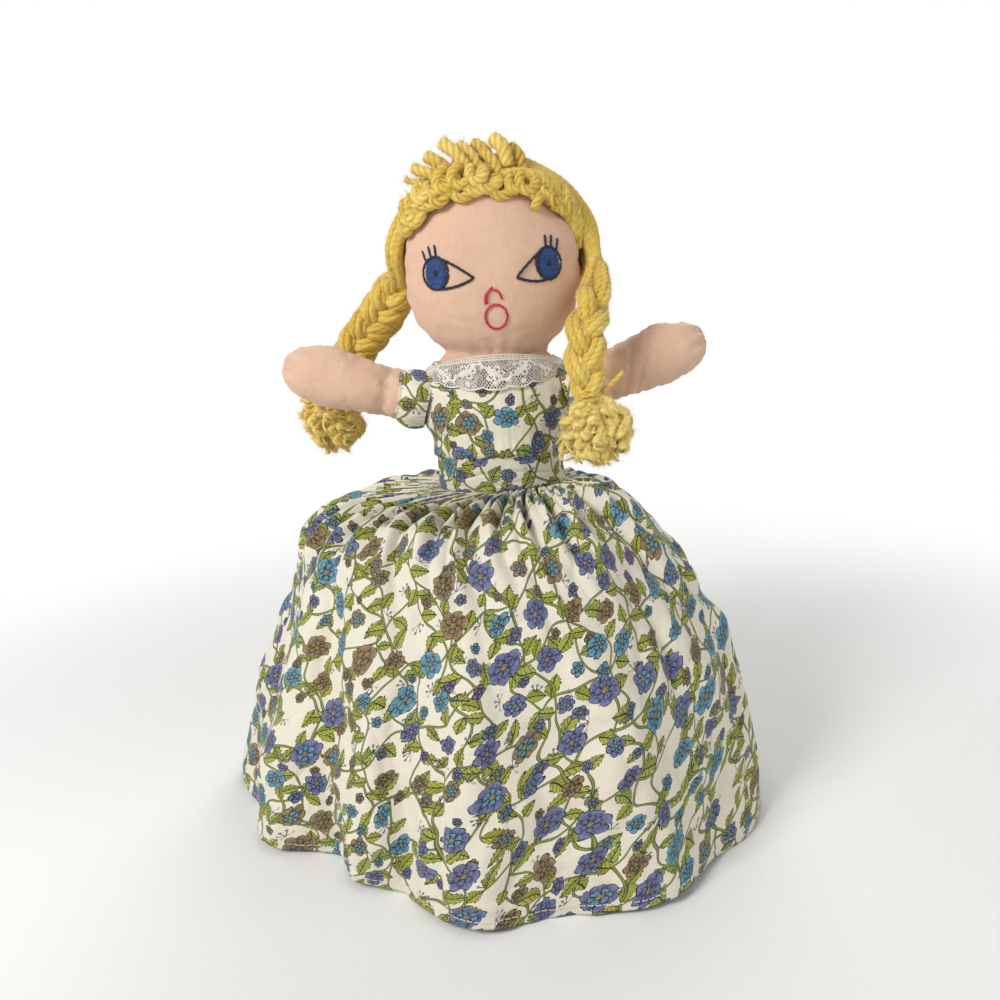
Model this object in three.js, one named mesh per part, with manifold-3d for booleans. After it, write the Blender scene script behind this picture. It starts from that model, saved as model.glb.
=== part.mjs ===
// A cloth rag doll with yarn braids, standing in a long gathered dress.
// Millimetres, +Z up. The doll faces -Y, and its own right side is at -X.
// Heights count from the floor, and places across from the doll's middle.
import * as THREE from 'three';
import { mergeVertices } from 'three/addons/utils/BufferGeometryUtils.js';
import Module from 'manifold-3d';

const wasm = await Module();
wasm.setup();

// Clearances, cloth and cuts
const seamGap = 0.3;
const jointGap = 0.6;
const bodyCloth = 0.8;
const dressCloth = 1.2;
const skirtCloth = 1.6;
const laceThickness = 0.9;
const threadThickness = 0.7;
const yarnLayer = 4.4;
const weldDistance = 0.001;
const cutReach = 400;

// Torso and neck
const torsoBottom = 144;
const torsoTop = 234;
const torsoHalfWidth = 36;
const torsoHalfDepth = 20.5;
const neckPivotHeight = 189;
const neckRadius = 40;

// Head
const headBottom = 212;
const headHeight = 96;
const headHalfWidth = 43.5;
const headHalfDepth = 25;

// Arms and their seams
const shoulderOut = 40;
const shoulderHeight = 205;
const shoulderBall = 12.2;
const armLength = 67;
const armHalfWidth = 14.2;
const armHalfDepth = 12.4;
const armRaise = THREE.MathUtils.degToRad(18);
const armMouthRadius = 5.5;

// Legs and their seams
const hipOut = 15;
const hipHeight = 141.5;
const hipBall = 12;
const legHalfWidth = 12;
const legHalfDepth = 12;
const footForward = 11;
const soleHeight = 0.6;
const legMouthRadius = 6;

// Dress
const bodiceBottom = 177;
const waistbandBottom = 160;
const neckHoleHalfWidth = 33.5;
const neckHoleHalfDepth = 12.9;
const necklineRadius = 36.4;
const sleeveLength = 8.5;
const hemHalfWidth = 137;
const hemHalfDepth = 129;
const hemShift = -19;
const foldDepth = 5.2;
const puffDepth = 3.4;
const foldCount = 11;
const swayCount = 3;
const billowDepth = 5;
const billowCount = 8;
const billowSway = 2;
const billowLean = 1.9;
const rippleDepth = 3;
const rippleCount = 13;
const tuckDepth = 33;
const tuckTurn = -2.3;
const tuckSharpness = 4;
const collarDrop = 6;
const collarHalfWidth = 30;
const collarEdgeAboveNeck = 23;
const collarTrim = 1;
const scallopDepth = 1.4;
const scallopCount = 9;

// Hair
const napeAboveNeck = 26;
const templeFront = 7;
const hairlineAboveNeck = 88;
const fringeRadius = 8.4;
const fringeSeat = 2.4;
const fringeLump = 1.3;
const fringeLumpCount = 8;
const fringeAboveNeck = 83;
const fringeDrop = 14;
const fringeHalfWidth = 37;
const fringeEndRadius = 1;
const partingWidth = 1.2;
const braidRadius = 10.6;
const braidRootRadius = 7.4;
const braidNeckRadius = 4.6;
const tuftHalfWidth = 19;
const tuftHalfDepth = 11;
const braidLobe = 1.6;
const braidLobeCount = 5;
const tieThread = 1.7;

// Face embroidery
const eyeOut = 26;
const eyeAboveNeck = 52;
const irisHalfWidth = 5.2;
const irisHalfHeight = 6.8;
const pupilHalfWidth = 1.7;
const pupilHalfHeight = 2.4;
const stitchWidth = 1.1;
const eyeReach = 17;
const lashLength = 5.5;
const lashSpacing = 2.9;
const noseAboveNeck = 40.5;
const noseHalfWidth = 3.4;
const mouthAboveNeck = 30.5;
const mouthHalfWidth = 4.6;
const mouthHalfHeight = 5;

// The collar's edge, counted from the neck's pivot
const collarEdgeHeight = neckPivotHeight + collarEdgeAboveNeck;

// Heights on the head, counted from the bottom of its neck
const napeHeight = headBottom + napeAboveNeck;
const hairlineHeight = headBottom + hairlineAboveNeck;
const fringeHeight = headBottom + fringeAboveNeck;
const eyeHeight = headBottom + eyeAboveNeck;
const noseHeight = headBottom + noseAboveNeck;
const mouthHeight = headBottom + mouthAboveNeck;

// Outlines of the stuffed forms, as shares of length, half width, half depth and forward shift
const torsoShares = [
  [0, 0, 0, 0], [0.012, 0.45, 0.5, 0], [0.06, 0.78, 0.83, 0], [0.2, 0.84, 0.96, 0], [0.38, 0.83, 0.98, 0],
  [0.55, 0.95, 1, 0], [0.7, 1, 0.88, 0], [0.78, 0.96, 0.7, 0], [0.86, 0.8, 0.6, 0], [1, 0.75, 0.58, 0],
];
const headShares = [
  [0, 0.63, 0.47, 0], [0.16, 0.67, 0.49, 0], [0.24, 0.83, 0.77, 0], [0.34, 0.94, 0.93, 0], [0.47, 1, 1, 0],
  [0.64, 0.98, 1, 0], [0.8, 0.82, 0.88, 0], [0.92, 0.52, 0.62, 0], [0.98, 0.25, 0.34, 0], [1, 0, 0, 0],
];
const armShares = [
  [0, 0.73, 0.84, 0], [0.2, 0.74, 0.84, 0], [0.42, 0.88, 0.94, 0], [0.66, 1, 1, 0], [0.84, 0.93, 0.93, 0],
  [0.95, 0.66, 0.68, 0], [1, 0, 0, 0],
];
const legShares = [
  [0, 0.98, 0.98, 0], [0.3, 1, 1, 0], [0.52, 0.82, 0.84, 0], [0.7, 0.86, 0.9, 0], [0.87, 0.7, 0.78, 0.1],
  [0.94, 0.82, 1.1, 0.55], [0.985, 0.8, 1.12, 0.8], [1, 0, 0, 0.85],
];
const seamPinchShare = 1.25;

// The skirt's drop, spread and sideways shift: shares of the waist's height, the hem's reach and its shift
const skirtShares = [
  [0, 0, 0], [0.012, 0.2, 0.55], [0.04, 0.37, 0.85], [0.1, 0.48, 0.88], [0.19, 0.56, 0.7], [0.32, 0.66, 0.55],
  [0.5, 0.79, 0.53], [0.68, 0.89, 0.68], [0.85, 0.95, 0.88], [1, 1, 1],
];
const foldTopShare = 0.35;

// Shares of the head's sizes and of the fringe's own path
const fringeDepthShare = 0.62;
const fringeRiseShare = 0.5;
const fringeFlatShare = 0.8;
const fringeTurn = THREE.MathUtils.degToRad(78);

// The braids hang along these points: shares of the head's half width, half depth and height
const braidShares = {
  right: [
    [-1.08, 0.58, 0.52], [-1.24, 1, 0.385], [-1.59, 1.24, 0.21], [-1.84, 1.32, 0.01],
    [-1.98, 1.36, -0.155], [-2.07, 1.36, -0.365],
  ],
  left: [
    [1.2, -0.44, 0.52], [1.17, -0.88, 0.385], [1.01, -1.24, 0.21], [0.99, -1.32, 0],
    [1.06, -1.32, -0.19], [1.08, -1.32, -0.425],
  ],
};
const braidEndShare = 0.66;
const braidDepthShare = 0.9;
const braidSwellShares = [[0, 0.7], [0.1, 1], [0.89, 1], [1, 0.44]];
const tuftSwellShares = [[0, 0.52], [0.1, 0.72], [0.3, 0.95], [0.5, 1], [0.7, 0.89], [0.85, 0.69], [1, 0.32]];
const swingFadeShare = 0.25;

// Shares of the eye's reach and the iris's height, of a lash's length and of the nose's half width
const eyeOpenShare = 0.42;
const eyeTipShare = 0.62;
const eyeLowShares = [[0.45, -1.02], [0.75, -0.92]];
const eyeHighShares = [[0.72, -0.05], [0.42, 0.62]];
const outlineTensionShare = 0.3;
const lashShiftShare = 0.2;
const lashShares = [[0, 0], [0.12, 0.6], [0.3, 1]];
const lashWidthShare = 0.8;
const noseShares = [[-0.75, -1.05], [-1, 0.1], [-0.35, 0.95], [0.2, 1], [1, -0.55]];

function ringOf(width, depth, height, shift, sides, pinch = 1) {
  const ring = [];
  for (let i = 0; i < sides; i += 1) {
    const turn = (i / sides) * Math.PI * 2;
    const across = Math.cos(turn);
    const along = Math.sin(turn);
    const lens = Math.sign(along) * Math.abs(along) ** pinch;
    ring.push(new THREE.Vector3(width * across, depth * lens - shift, height));
  }
  return ring;
}

// A closed surface over rows of points. A row of one point is a pole. A loop joins its last row to its first.
function loft(rows, loop = false) {
  const points = rows.flat();
  const starts = [];
  let count = 0;
  rows.forEach((row) => {
    starts.push(count);
    count += row.length;
  });
  const faces = [];
  const strips = loop ? rows.length : rows.length - 1;
  for (let r = 0; r < strips; r += 1) {
    const next = (r + 1) % rows.length;
    const sides = Math.max(rows[r].length, rows[next].length);
    for (let i = 0; i < sides; i += 1) {
      const j = (i + 1) % sides;
      const a = starts[r] + (rows[r].length > 1 ? i : 0);
      const b = starts[r] + (rows[r].length > 1 ? j : 0);
      const c = starts[next] + (rows[next].length > 1 ? j : 0);
      const d = starts[next] + (rows[next].length > 1 ? i : 0);
      if (a !== b) faces.push(a, b, c);
      if (c !== d) faces.push(a, c, d);
    }
  }
  const geometry = new THREE.BufferGeometry().setFromPoints(points);
  geometry.setIndex(faces);
  geometry.computeVertexNormals();
  return geometry;
}

function toSolid(geometry) {
  const bare = geometry.clone();
  bare.deleteAttribute('normal');
  bare.deleteAttribute('uv');
  const welded = mergeVertices(bare, weldDistance);
  return new wasm.Manifold(new wasm.Mesh({
    numProp: 3,
    vertProperties: Float32Array.from(welded.attributes.position.array),
    triVerts: Uint32Array.from(welded.index.array),
  }));
}

function toGeometry(solid) {
  const mesh = solid.getMesh();
  const geometry = new THREE.BufferGeometry();
  geometry.setAttribute('position', new THREE.BufferAttribute(Float32Array.from(mesh.vertProperties), 3));
  geometry.setIndex(new THREE.BufferAttribute(Uint32Array.from(mesh.triVerts), 1));
  geometry.computeVertexNormals();
  return geometry;
}

// The rows of a stuffed form along +Z, swollen or shrunk by grow square to its outline.
function formRows(form, grow = 0) {
  const { shares, length, halfWidth, halfDepth, forward = 0, count, sides, start = 0, pinch = 1 } = form;
  const curve = new THREE.CatmullRomCurve3(
    shares.map(([along, width, depth]) => (
      new THREE.Vector3(width * halfWidth, depth * halfDepth, along * length))),
  );
  const shifts = new THREE.CatmullRomCurve3(
    shares.map(([along, , , shift]) => new THREE.Vector3(shift * forward, 0, along * length)),
  );
  const rows = [];
  for (let i = 0; i <= count; i += 1) {
    const t = i / count;
    const at = curve.getPoint(t);
    const slope = curve.getTangent(t);
    const shift = shifts.getPoint(t).x;
    const side = slope.x + slope.y;
    const lean = Math.hypot(side, slope.z);
    const out = Math.max(slope.z / lean, 0);
    const width = Math.max(at.x, 0);
    const depth = Math.max(at.y, 0);
    const height = start + at.z - grow * (side / lean);
    const pole = width < bodyCloth;
    rows.push(pole
      ? [new THREE.Vector3(0, -shift, height)]
      : ringOf(width + grow * out, depth + grow * out, height, shift, sides, pinch));
  }
  return rows;
}

function capped(rows) {
  const middle = (row) => row.reduce((sum, p) => sum.add(p), new THREE.Vector3()).divideScalar(row.length);
  const closed = [...rows];
  if (closed[0].length > 1) closed.unshift([middle(closed[0])]);
  if (closed[closed.length - 1].length > 1) closed.push([middle(closed[closed.length - 1])]);
  return closed;
}

const solidForm = (form, grow = 0) => toSolid(loft(capped(formRows(form, grow))));

function boxSolid(low, high) {
  const size = new THREE.Vector3().subVectors(high, low);
  const box = new THREE.BoxGeometry(size.x, size.y, size.z);
  const middle = new THREE.Vector3().addVectors(low, high).multiplyScalar(0.5);
  return toSolid(box.translate(middle.x, middle.y, middle.z));
}

const point = (x, y, z) => new THREE.Vector3(x, y, z);

function ballSolid(middle, radius, sides = 20) {
  const ball = new THREE.SphereGeometry(radius, sides, Math.round(sides / 2));
  return toSolid(ball.translate(middle.x, middle.y, middle.z));
}

// A cylinder across the doll, from front to back.
function rollSolid(middle, radius, halfLength, sides = 36) {
  const roll = new THREE.CylinderGeometry(radius, radius, halfLength * 2, sides);
  return toSolid(roll.translate(middle.x, middle.y, middle.z));
}

// The space between two heights.
function between(low, high) {
  return boxSolid(point(-cutReach, -cutReach, low), point(cutReach, cutReach, high));
}

// An upright outline drawn on x and z, cut from the front plane to the back plane.
function frontalPrism(outline, front, back) {
  const block = new THREE.ExtrudeGeometry(outline, { depth: back - front, bevelEnabled: false });
  return toSolid(block.rotateX(Math.PI / 2).translate(0, back, 0));
}

function sidePrism(points, halfWidth) {
  const outline = new THREE.Shape(points.map(([y, z]) => new THREE.Vector2(y, z)));
  const block = new THREE.ExtrudeGeometry(outline, { depth: halfWidth * 2, bevelEnabled: false });
  const turned = new THREE.Matrix4().makeBasis(point(0, 1, 0), point(0, 0, 1), point(1, 0, 0));
  return toSolid(block.applyMatrix4(turned).translate(-halfWidth, 0, 0));
}

const doll = new THREE.Group();

function material(color, roughness) {
  return new THREE.MeshStandardMaterial({ color, roughness, metalness: 0 });
}

const materials = {
  skin: material(0xdcb08e, 0.8),
  filling: material(0xf2efe8, 0.95),
  print: material(0xc9cbb8, 0.85),
  lace: material(0xf3efe4, 0.9),
  yarn: material(0xd9b45a, 0.95),
  blue: material(0x3d5f9e, 0.7),
  dark: material(0x1c1c22, 0.75),
  red: material(0xc23a3e, 0.75),
};

function add(name, shape, slot, parent = doll) {
  const geometry = shape instanceof THREE.BufferGeometry ? shape : toGeometry(shape);
  const mesh = new THREE.Mesh(geometry, materials[slot]);
  mesh.name = name;
  parent.add(mesh);
  return mesh;
}

// Forms of the torso and the head, in place
const torsoForm = {
  shares: torsoShares,
  length: torsoTop - torsoBottom,
  halfWidth: torsoHalfWidth,
  halfDepth: torsoHalfDepth,
  start: torsoBottom,
  count: 9,
  sides: 16,
  pinch: seamPinchShare,
};
const headForm = {
  shares: headShares,
  length: headHeight,
  halfWidth: headHalfWidth,
  halfDepth: headHalfDepth,
  start: headBottom,
  count: 11,
  sides: 22,
  pinch: seamPinchShare,
};
const neckPivot = point(0, 0, neckPivotHeight);
const shoulders = [-1, 1].map((side) => point(side * shoulderOut, 0, shoulderHeight));
const hips = [-1, 1].map((side) => point(side * hipOut, 0, hipHeight));
const shoulderSockets = shoulders.map((at) => ballSolid(at, shoulderBall + jointGap, 20));
const hipSockets = hips.map((at) => ballSolid(at, hipBall + jointGap, 16));
const sockets = [...shoulderSockets, ...hipSockets];

// The neck seam is a roll from front to back, which the head tilts round.
const neckRoll = (grow) => rollSolid(neckPivot, neckRadius + grow, cutReach);
const aboveShoulders = between(shoulderHeight, cutReach);

// A form of the torso's shape, cut off by the neck's roll.
function torsoSolid(grow) {
  const whole = solidForm(torsoForm, grow);
  return whole.subtract(aboveShoulders.subtract(neckRoll(grow)));
}

function lessAll(solid, cutters) {
  return cutters.reduce((left, cutter) => left.subtract(cutter), solid);
}

// A skin is a cloth bag that stays open at its mouth, where the filling went in.
function skinOf(form, mouthFirst) {
  const outer = formRows(form);
  const inner = formRows(form, -bodyCloth);
  const rows = mouthFirst ? [...inner.reverse(), ...outer] : [...outer, ...inner.reverse()];
  return toSolid(loft(rows));
}

function fillingOf(form) {
  return solidForm({ ...form, sides: form.sides / 2 }, -bodyCloth - seamGap);
}

function buildTorso() {
  const cutters = [aboveShoulders.subtract(neckRoll(0)), ...sockets];
  add('torso_skin', lessAll(skinOf(torsoForm, false), cutters), 'skin');
  add('torso_filling', lessAll(fillingOf(torsoForm), cutters), 'filling');
}

function buildHead() {
  const neckCut = neckRoll(seamGap);
  add('head_skin', skinOf(headForm, true).subtract(neckCut), 'skin');
  add('head_filling', fillingOf(headForm).subtract(neckCut), 'filling');
}

// A limb starts with a ball in its seam's socket, open at the back of the ball.
function limbRows(form, ball, mouthRadius, grow) {
  const mouthTurn = Math.asin(mouthRadius / ball);
  const rows = [];
  const steps = 3;
  for (let i = 0; i < steps; i += 1) {
    const turn = mouthTurn + ((Math.PI / 2 - mouthTurn) * i) / (steps - 1);
    const radius = ball + grow;
    const reach = radius * Math.sin(turn);
    rows.push(ringOf(reach, reach, -radius * Math.cos(turn), 0, form.sides));
  }
  return [...rows, ...formRows(form, grow)];
}

function limbSkin(form, ball, mouthRadius) {
  const outer = limbRows(form, ball, mouthRadius, 0);
  const inner = limbRows(form, ball, mouthRadius, -bodyCloth);
  return loft([...inner.reverse(), ...outer]);
}

function limbFilling(form, ball, mouthRadius) {
  return loft(capped(limbRows({ ...form, sides: form.sides / 2 }, ball, mouthRadius, -bodyCloth - seamGap)));
}

const armBall = shoulderBall - dressCloth - seamGap;

function buildArms() {
  const form = {
    shares: armShares,
    length: armLength - dressCloth,
    halfWidth: armHalfWidth,
    halfDepth: armHalfDepth,
    start: dressCloth,
    count: 7,
    sides: 12,
  };
  ['right', 'left'].forEach((name, i) => {
    const side = i === 0 ? -1 : 1;
    const arm = new THREE.Group();
    arm.position.copy(shoulders[i]);
    arm.rotation.y = side * (Math.PI / 2 - armRaise);
    doll.add(arm);
    add(`${name}_arm_skin`, limbSkin(form, armBall, armMouthRadius), 'skin', arm);
    add(`${name}_arm_filling`, limbFilling(form, armBall, armMouthRadius), 'filling', arm);
    add(`${name}_sleeve`, sleeve(), 'print', arm);
  });
}

// A short cap sleeve: a gathered ball in the armhole, which opens into a short cuff round the arm.
function sleeve() {
  const sides = 16;
  const surface = (radius) => {
    const mouthTurn = Math.asin(armMouthRadius / radius);
    const ball = [0, 0.5, 1].map((share) => {
      const turn = mouthTurn + (Math.PI / 2 - mouthTurn) * share;
      return ringOf(radius * Math.sin(turn), radius * Math.sin(turn), -radius * Math.cos(turn), 0, sides);
    });
    const cuff = [0.5, 1].map((share) => {
      const flare = radius + seamGap * share;
      return ringOf(flare, flare, sleeveLength * share, 0, sides);
    });
    return [...ball, ...cuff];
  };
  return loft([...surface(shoulderBall), ...surface(shoulderBall - dressCloth).reverse()], true);
}

function buildLegs() {
  const form = {
    shares: legShares,
    length: hipHeight - soleHeight + seamGap,
    halfWidth: legHalfWidth,
    halfDepth: legHalfDepth,
    forward: footForward,
    count: 9,
    sides: 12,
  };
  const floorCut = boxSolid(
    point(-cutReach, -cutReach, hipHeight - soleHeight),
    point(cutReach, cutReach, cutReach),
  );
  ['right', 'left'].forEach((name, i) => {
    const leg = new THREE.Group();
    leg.position.copy(hips[i]);
    leg.rotation.set(Math.PI, 0, 0);
    doll.add(leg);
    const turned = { ...form, forward: -footForward };
    const skin = toSolid(limbSkin(turned, hipBall, legMouthRadius)).subtract(floorCut);
    const filling = limbFilling(turned, hipBall, legMouthRadius);
    add(`${name}_leg_skin`, skin, 'skin', leg);
    add(`${name}_leg_filling`, filling, 'filling', leg);
  });
}

// The neckline follows the neck seam, a little below it, and the neck comes up through it.
function belowNeckline(solid, rise) {
  const roll = rollSolid(neckPivot, necklineRadius + rise, cutReach);
  const halfWidth = neckHoleHalfWidth - rise;
  const above = boxSolid(point(-halfWidth, -cutReach, neckPivotHeight), point(halfWidth, cutReach, cutReach));
  const neckHole = boxSolid(
    point(-neckHoleHalfWidth, -neckHoleHalfDepth, neckPivotHeight),
    point(neckHoleHalfWidth, neckHoleHalfDepth, cutReach),
  );
  return solid.subtract(above.subtract(roll)).subtract(neckHole);
}

function buildDressTop() {
  const cloth = torsoSolid(seamGap + dressCloth).subtract(torsoSolid(seamGap));
  const bodice = belowNeckline(cloth.intersect(between(bodiceBottom, torsoTop)), 0);
  add('bodice', lessAll(bodice, shoulderSockets), 'print');
  add('waistband', cloth.intersect(between(waistbandBottom, bodiceBottom - seamGap)), 'print');
}

// The lace lies on the bodice round the neckline, with a scalloped lower edge.
function buildCollar() {
  const inside = seamGap * 2 + dressCloth;
  const lace = torsoSolid(inside + laceThickness).subtract(torsoSolid(inside));
  const outline = new THREE.Shape();
  const steps = scallopCount * 3;
  outline.moveTo(collarHalfWidth, torsoTop);
  outline.lineTo(-collarHalfWidth, torsoTop);
  for (let i = 0; i <= steps; i += 1) {
    const share = i / steps;
    const x = (share * 2 - 1) * collarHalfWidth;
    const dip = collarDrop * (share * 2 - 1) ** 2;
    const scallop = scallopDepth * Math.abs(Math.sin(share * scallopCount * Math.PI));
    outline.lineTo(x, collarEdgeHeight - dip - scallop);
  }
  outline.closePath();
  const band = frontalPrism(outline, -cutReach, cutReach);
  const collar = lessAll(belowNeckline(lace.intersect(band), collarTrim), shoulderSockets);
  const frontHalf = boxSolid(point(-cutReach, -cutReach, 0), point(cutReach, 0, cutReach));
  add('lace_collar_front', collar.intersect(frontHalf), 'lace');
  add('lace_collar_back', collar.subtract(frontHalf), 'lace');
}

// The skirt is one gathered strip: many small gathers at the waist run into broad folds and billows.
function skirtPoint([drop, spread, shift], turn, inward) {
  const { x: waistWidth, y: waistDepth } = waistHalfSizes();
  const halfWidth = THREE.MathUtils.lerp(waistWidth, hemHalfWidth, spread);
  const halfDepth = THREE.MathUtils.lerp(waistDepth, hemHalfDepth, spread);
  const fold = foldDepth * Math.sin(foldCount * turn + Math.sin(turn * swayCount));
  const sway = puffDepth * Math.cos(swayCount * turn + swayCount / 2);
  const lean = billowLean * drop;
  const drift = billowSway * Math.sin(billowSway * turn) + lean;
  const billow = billowDepth * (1 + Math.sin(billowCount * turn + drift));
  const ripple = rippleDepth * (1 + Math.sin(rippleCount * turn - billowSway * lean));
  const tuck = tuckDepth * drop * Math.max(0, Math.cos(turn - tuckTurn)) ** tuckSharpness;
  const folds = fold * THREE.MathUtils.lerp(foldTopShare, 1, drop) + (billow + ripple) / 2;
  const swell = spread * (folds + sway - tuck);
  return point(
    (halfWidth + swell - inward.x) * Math.cos(turn) + hemShift * shift,
    (halfDepth + swell - inward.x) * Math.sin(turn),
    (waistbandBottom - seamGap) * (1 - drop) - inward.y,
  );
}

// The half width and half depth of the skirt's top edge, round the torso at the waist seam.
function waistHalfSizes() {
  const rows = formRows(torsoForm, seamGap + skirtCloth).filter((row) => row.length > 1);
  const gapTo = (row) => Math.abs(row[0].z - waistbandBottom);
  const nearest = rows.reduce((best, row) => (gapTo(row) < gapTo(best) ? row : best));
  return new THREE.Vector2(Math.max(...nearest.map((p) => p.x)), Math.max(...nearest.map((p) => p.y)));
}

function buildSkirt() {
  const sides = 60;
  const last = skirtShares.length - 1;
  const inwards = skirtShares.map((row, i) => {
    const before = skirtShares[Math.max(i - 1, 0)];
    const after = skirtShares[Math.min(i + 1, last)];
    const slope = new THREE.Vector2(after[0] - before[0], after[1] - before[1]);
    slope.multiply(new THREE.Vector2(waistbandBottom, hemHalfWidth)).setLength(skirtCloth);
    return i === 0 || i === last ? new THREE.Vector2(skirtCloth, 0) : slope;
  });
  const flush = new THREE.Vector2(0, 0);
  const ring = (row, inward) => Array.from({ length: sides }, (_, k) => (
    skirtPoint(row, -(k / sides) * Math.PI * 2, inward)));
  const outer = skirtShares.map((row) => ring(row, flush));
  const inner = skirtShares.map((row, i) => ring(row, inwards[i]));
  add('skirt', loft([...outer, ...inner.reverse()], true), 'print');
}

// The hair lies on the head as a layer of yarn, in two halves beside the parting's stitches.
function buildHair() {
  const outer = solidForm(headForm, seamGap + yarnLayer);
  const inner = solidForm(headForm, seamGap);
  const region = sidePrism([
    [-templeFront, napeHeight], [cutReach, napeHeight], [cutReach, cutReach], [-cutReach, cutReach],
    [-cutReach, hairlineHeight], [-templeFront * 2, hairlineHeight - templeFront / 2],
  ], cutReach);
  const layer = outer.subtract(inner).intersect(region);
  const fringeRoom = fringeSolid(seamGap);
  add('fringe', fringeSolid(0).subtract(inner), 'yarn');
  const slot = boxSolid(
    point(-partingWidth / 2 - seamGap, -cutReach, headBottom),
    point(partingWidth / 2 + seamGap, cutReach, cutReach),
  );
  const stitchBand = boxSolid(
    point(-partingWidth / 2, -cutReach, headBottom),
    point(partingWidth / 2, cutReach, cutReach),
  );
  const rightSide = boxSolid(point(-cutReach, -cutReach, headBottom), point(0, cutReach, cutReach));
  const halves = layer.subtract(fringeRoom);
  add('right_hair', halves.subtract(slot).intersect(rightSide), 'yarn');
  add('left_hair', halves.subtract(slot).subtract(rightSide), 'yarn');
  add('parting_stitch', halves.intersect(stitchBand), 'yarn');
}

// The fringe is a lumpy roll of short yarn loops round the top of the forehead.
function fringeSolid(grow) {
  const stepsPerLump = 3;
  const count = fringeLumpCount * stepsPerLump;
  const sides = 8;
  const rows = [];
  for (let i = 0; i <= count; i += 1) {
    const share = (i / count) * 2 - 1;
    const turn = share * fringeTurn;
    const middle = point(
      fringeHalfWidth * Math.sin(turn) / Math.sin(fringeTurn),
      -(headHalfDepth * fringeDepthShare) * Math.cos(turn) - fringeSeat,
      fringeHeight - fringeDrop * share * share,
    );
    const along = point(Math.cos(turn), Math.sin(turn) * fringeDepthShare, -share * fringeRiseShare);
    along.normalize();
    const up = point(0, 0, 1).addScaledVector(along, -along.z).normalize();
    const out = new THREE.Vector3().crossVectors(up, along);
    const end = Math.sqrt(1 - share ** 6);
    const lump = fringeLump * Math.cos((i * Math.PI * 2) / stepsPerLump);
    const radius = Math.max((fringeRadius + lump) * end, fringeEndRadius) + grow;
    rows.push(Array.from({ length: sides }, (_, k) => {
      const angle = (k / sides) * Math.PI * 2;
      return middle.clone()
        .addScaledVector(up, radius * Math.cos(angle))
        .addScaledVector(out, -radius * fringeFlatShare * Math.sin(angle));
    }));
  }
  return toSolid(loft(capped(rows)));
}

// A value between the rows of a table of shares.
function shareAt(table, along) {
  const next = Math.max(table.findIndex(([start]) => start >= along), 1);
  const [low, lowValue] = table[next - 1];
  const [high, highValue] = table[next];
  return THREE.MathUtils.mapLinear(along, low, high, lowValue, highValue);
}

// A braid is a lumpy rope down to its tie, then a wide tuft. This gives its half width, half depth
// and sideways swing at a share of its length.
function braidSection(share) {
  if (share < braidEndShare) {
    const along = share / braidEndShare;
    const radius = braidRadius * shareAt(braidSwellShares, along);
    const swingShare = Math.sin(along * Math.PI * braidLobeCount) * Math.min(1, (1 - along) / swingFadeShare);
    return {
      width: radius,
      depth: Math.max(radius * braidDepthShare, braidNeckRadius),
      swing: braidLobe * swingShare,
    };
  }
  const swellShare = shareAt(tuftSwellShares, (share - braidEndShare) / (1 - braidEndShare));
  return {
    width: tuftHalfWidth * swellShare,
    depth: Math.max(tuftHalfDepth * swellShare, braidNeckRadius),
    swing: 0,
  };
}

function buildBraids() {
  const sides = 8;
  const count = 22;
  Object.entries(braidShares).forEach(([name, shares]) => {
    const curve = new THREE.CatmullRomCurve3(shares.map(([across, back, up]) => (
      point(across * headHalfWidth, back * headHalfDepth, headBottom + up * headHeight))));
    const ringAt = (share, width, depth, swing = 0) => {
      const along = curve.getTangentAt(share);
      const across = new THREE.Vector3().crossVectors(point(0, 1, 0), along).normalize();
      const deep = new THREE.Vector3().crossVectors(along, across);
      const middle = curve.getPointAt(share).addScaledVector(across, swing);
      return Array.from({ length: sides }, (_, k) => {
        const turn = (k / sides) * Math.PI * 2;
        return middle.clone()
          .addScaledVector(across, width * Math.cos(turn))
          .addScaledVector(deep, depth * Math.sin(turn));
      });
    };
    const sleeveOf = (halfLength, radius) => toSolid(loft(capped([-1, 0, 1].map((step) => (
      ringAt(braidEndShare + (step * halfLength) / curve.getLength(), radius, radius))))));
    const rows = Array.from({ length: count + 1 }, (_, i) => {
      const { width, depth, swing } = braidSection(i / count);
      return ringAt(i / count, width, depth, swing);
    });
    const start = curve.getPointAt(0).addScaledVector(curve.getTangentAt(0), -braidRootRadius / 2);
    const end = curve.getPointAt(1).addScaledVector(curve.getTangentAt(1), braidNeckRadius / 2);
    const braid = toSolid(loft([[start], ...rows, [end]]));
    const notch = sleeveOf(tieThread + seamGap, tuftHalfWidth).subtract(
      sleeveOf((tieThread + seamGap) * 2, braidNeckRadius),
    );
    const tie = sleeveOf(tieThread, braidNeckRadius + seamGap + tieThread).subtract(
      sleeveOf(tieThread * 2, braidNeckRadius + seamGap),
    );
    add(`${name}_braid`, braid.subtract(notch), 'yarn');
    add(`${name}_braid_tie`, tie, 'yarn');
  });
}

// Stitched shapes lie on the face as thin pads that follow it.
const facePad = solidForm(headForm, seamGap + threadThickness).subtract(solidForm(headForm, seamGap));

const outlineStepCount = 5;

function embroider(name, prism, slot) {
  add(name, facePad.intersect(prism), slot);
}

function ellipsePrism(x, z, halfWidth, halfHeight) {
  const sides = outlineStepCount * 3;
  const points = Array.from({ length: sides }, (_, k) => {
    const turn = (k / sides) * Math.PI * 2;
    return new THREE.Vector2(x + halfWidth * Math.cos(turn), z + halfHeight * Math.sin(turn));
  });
  return frontalPrism(new THREE.Shape(points), -cutReach, 0);
}

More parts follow.
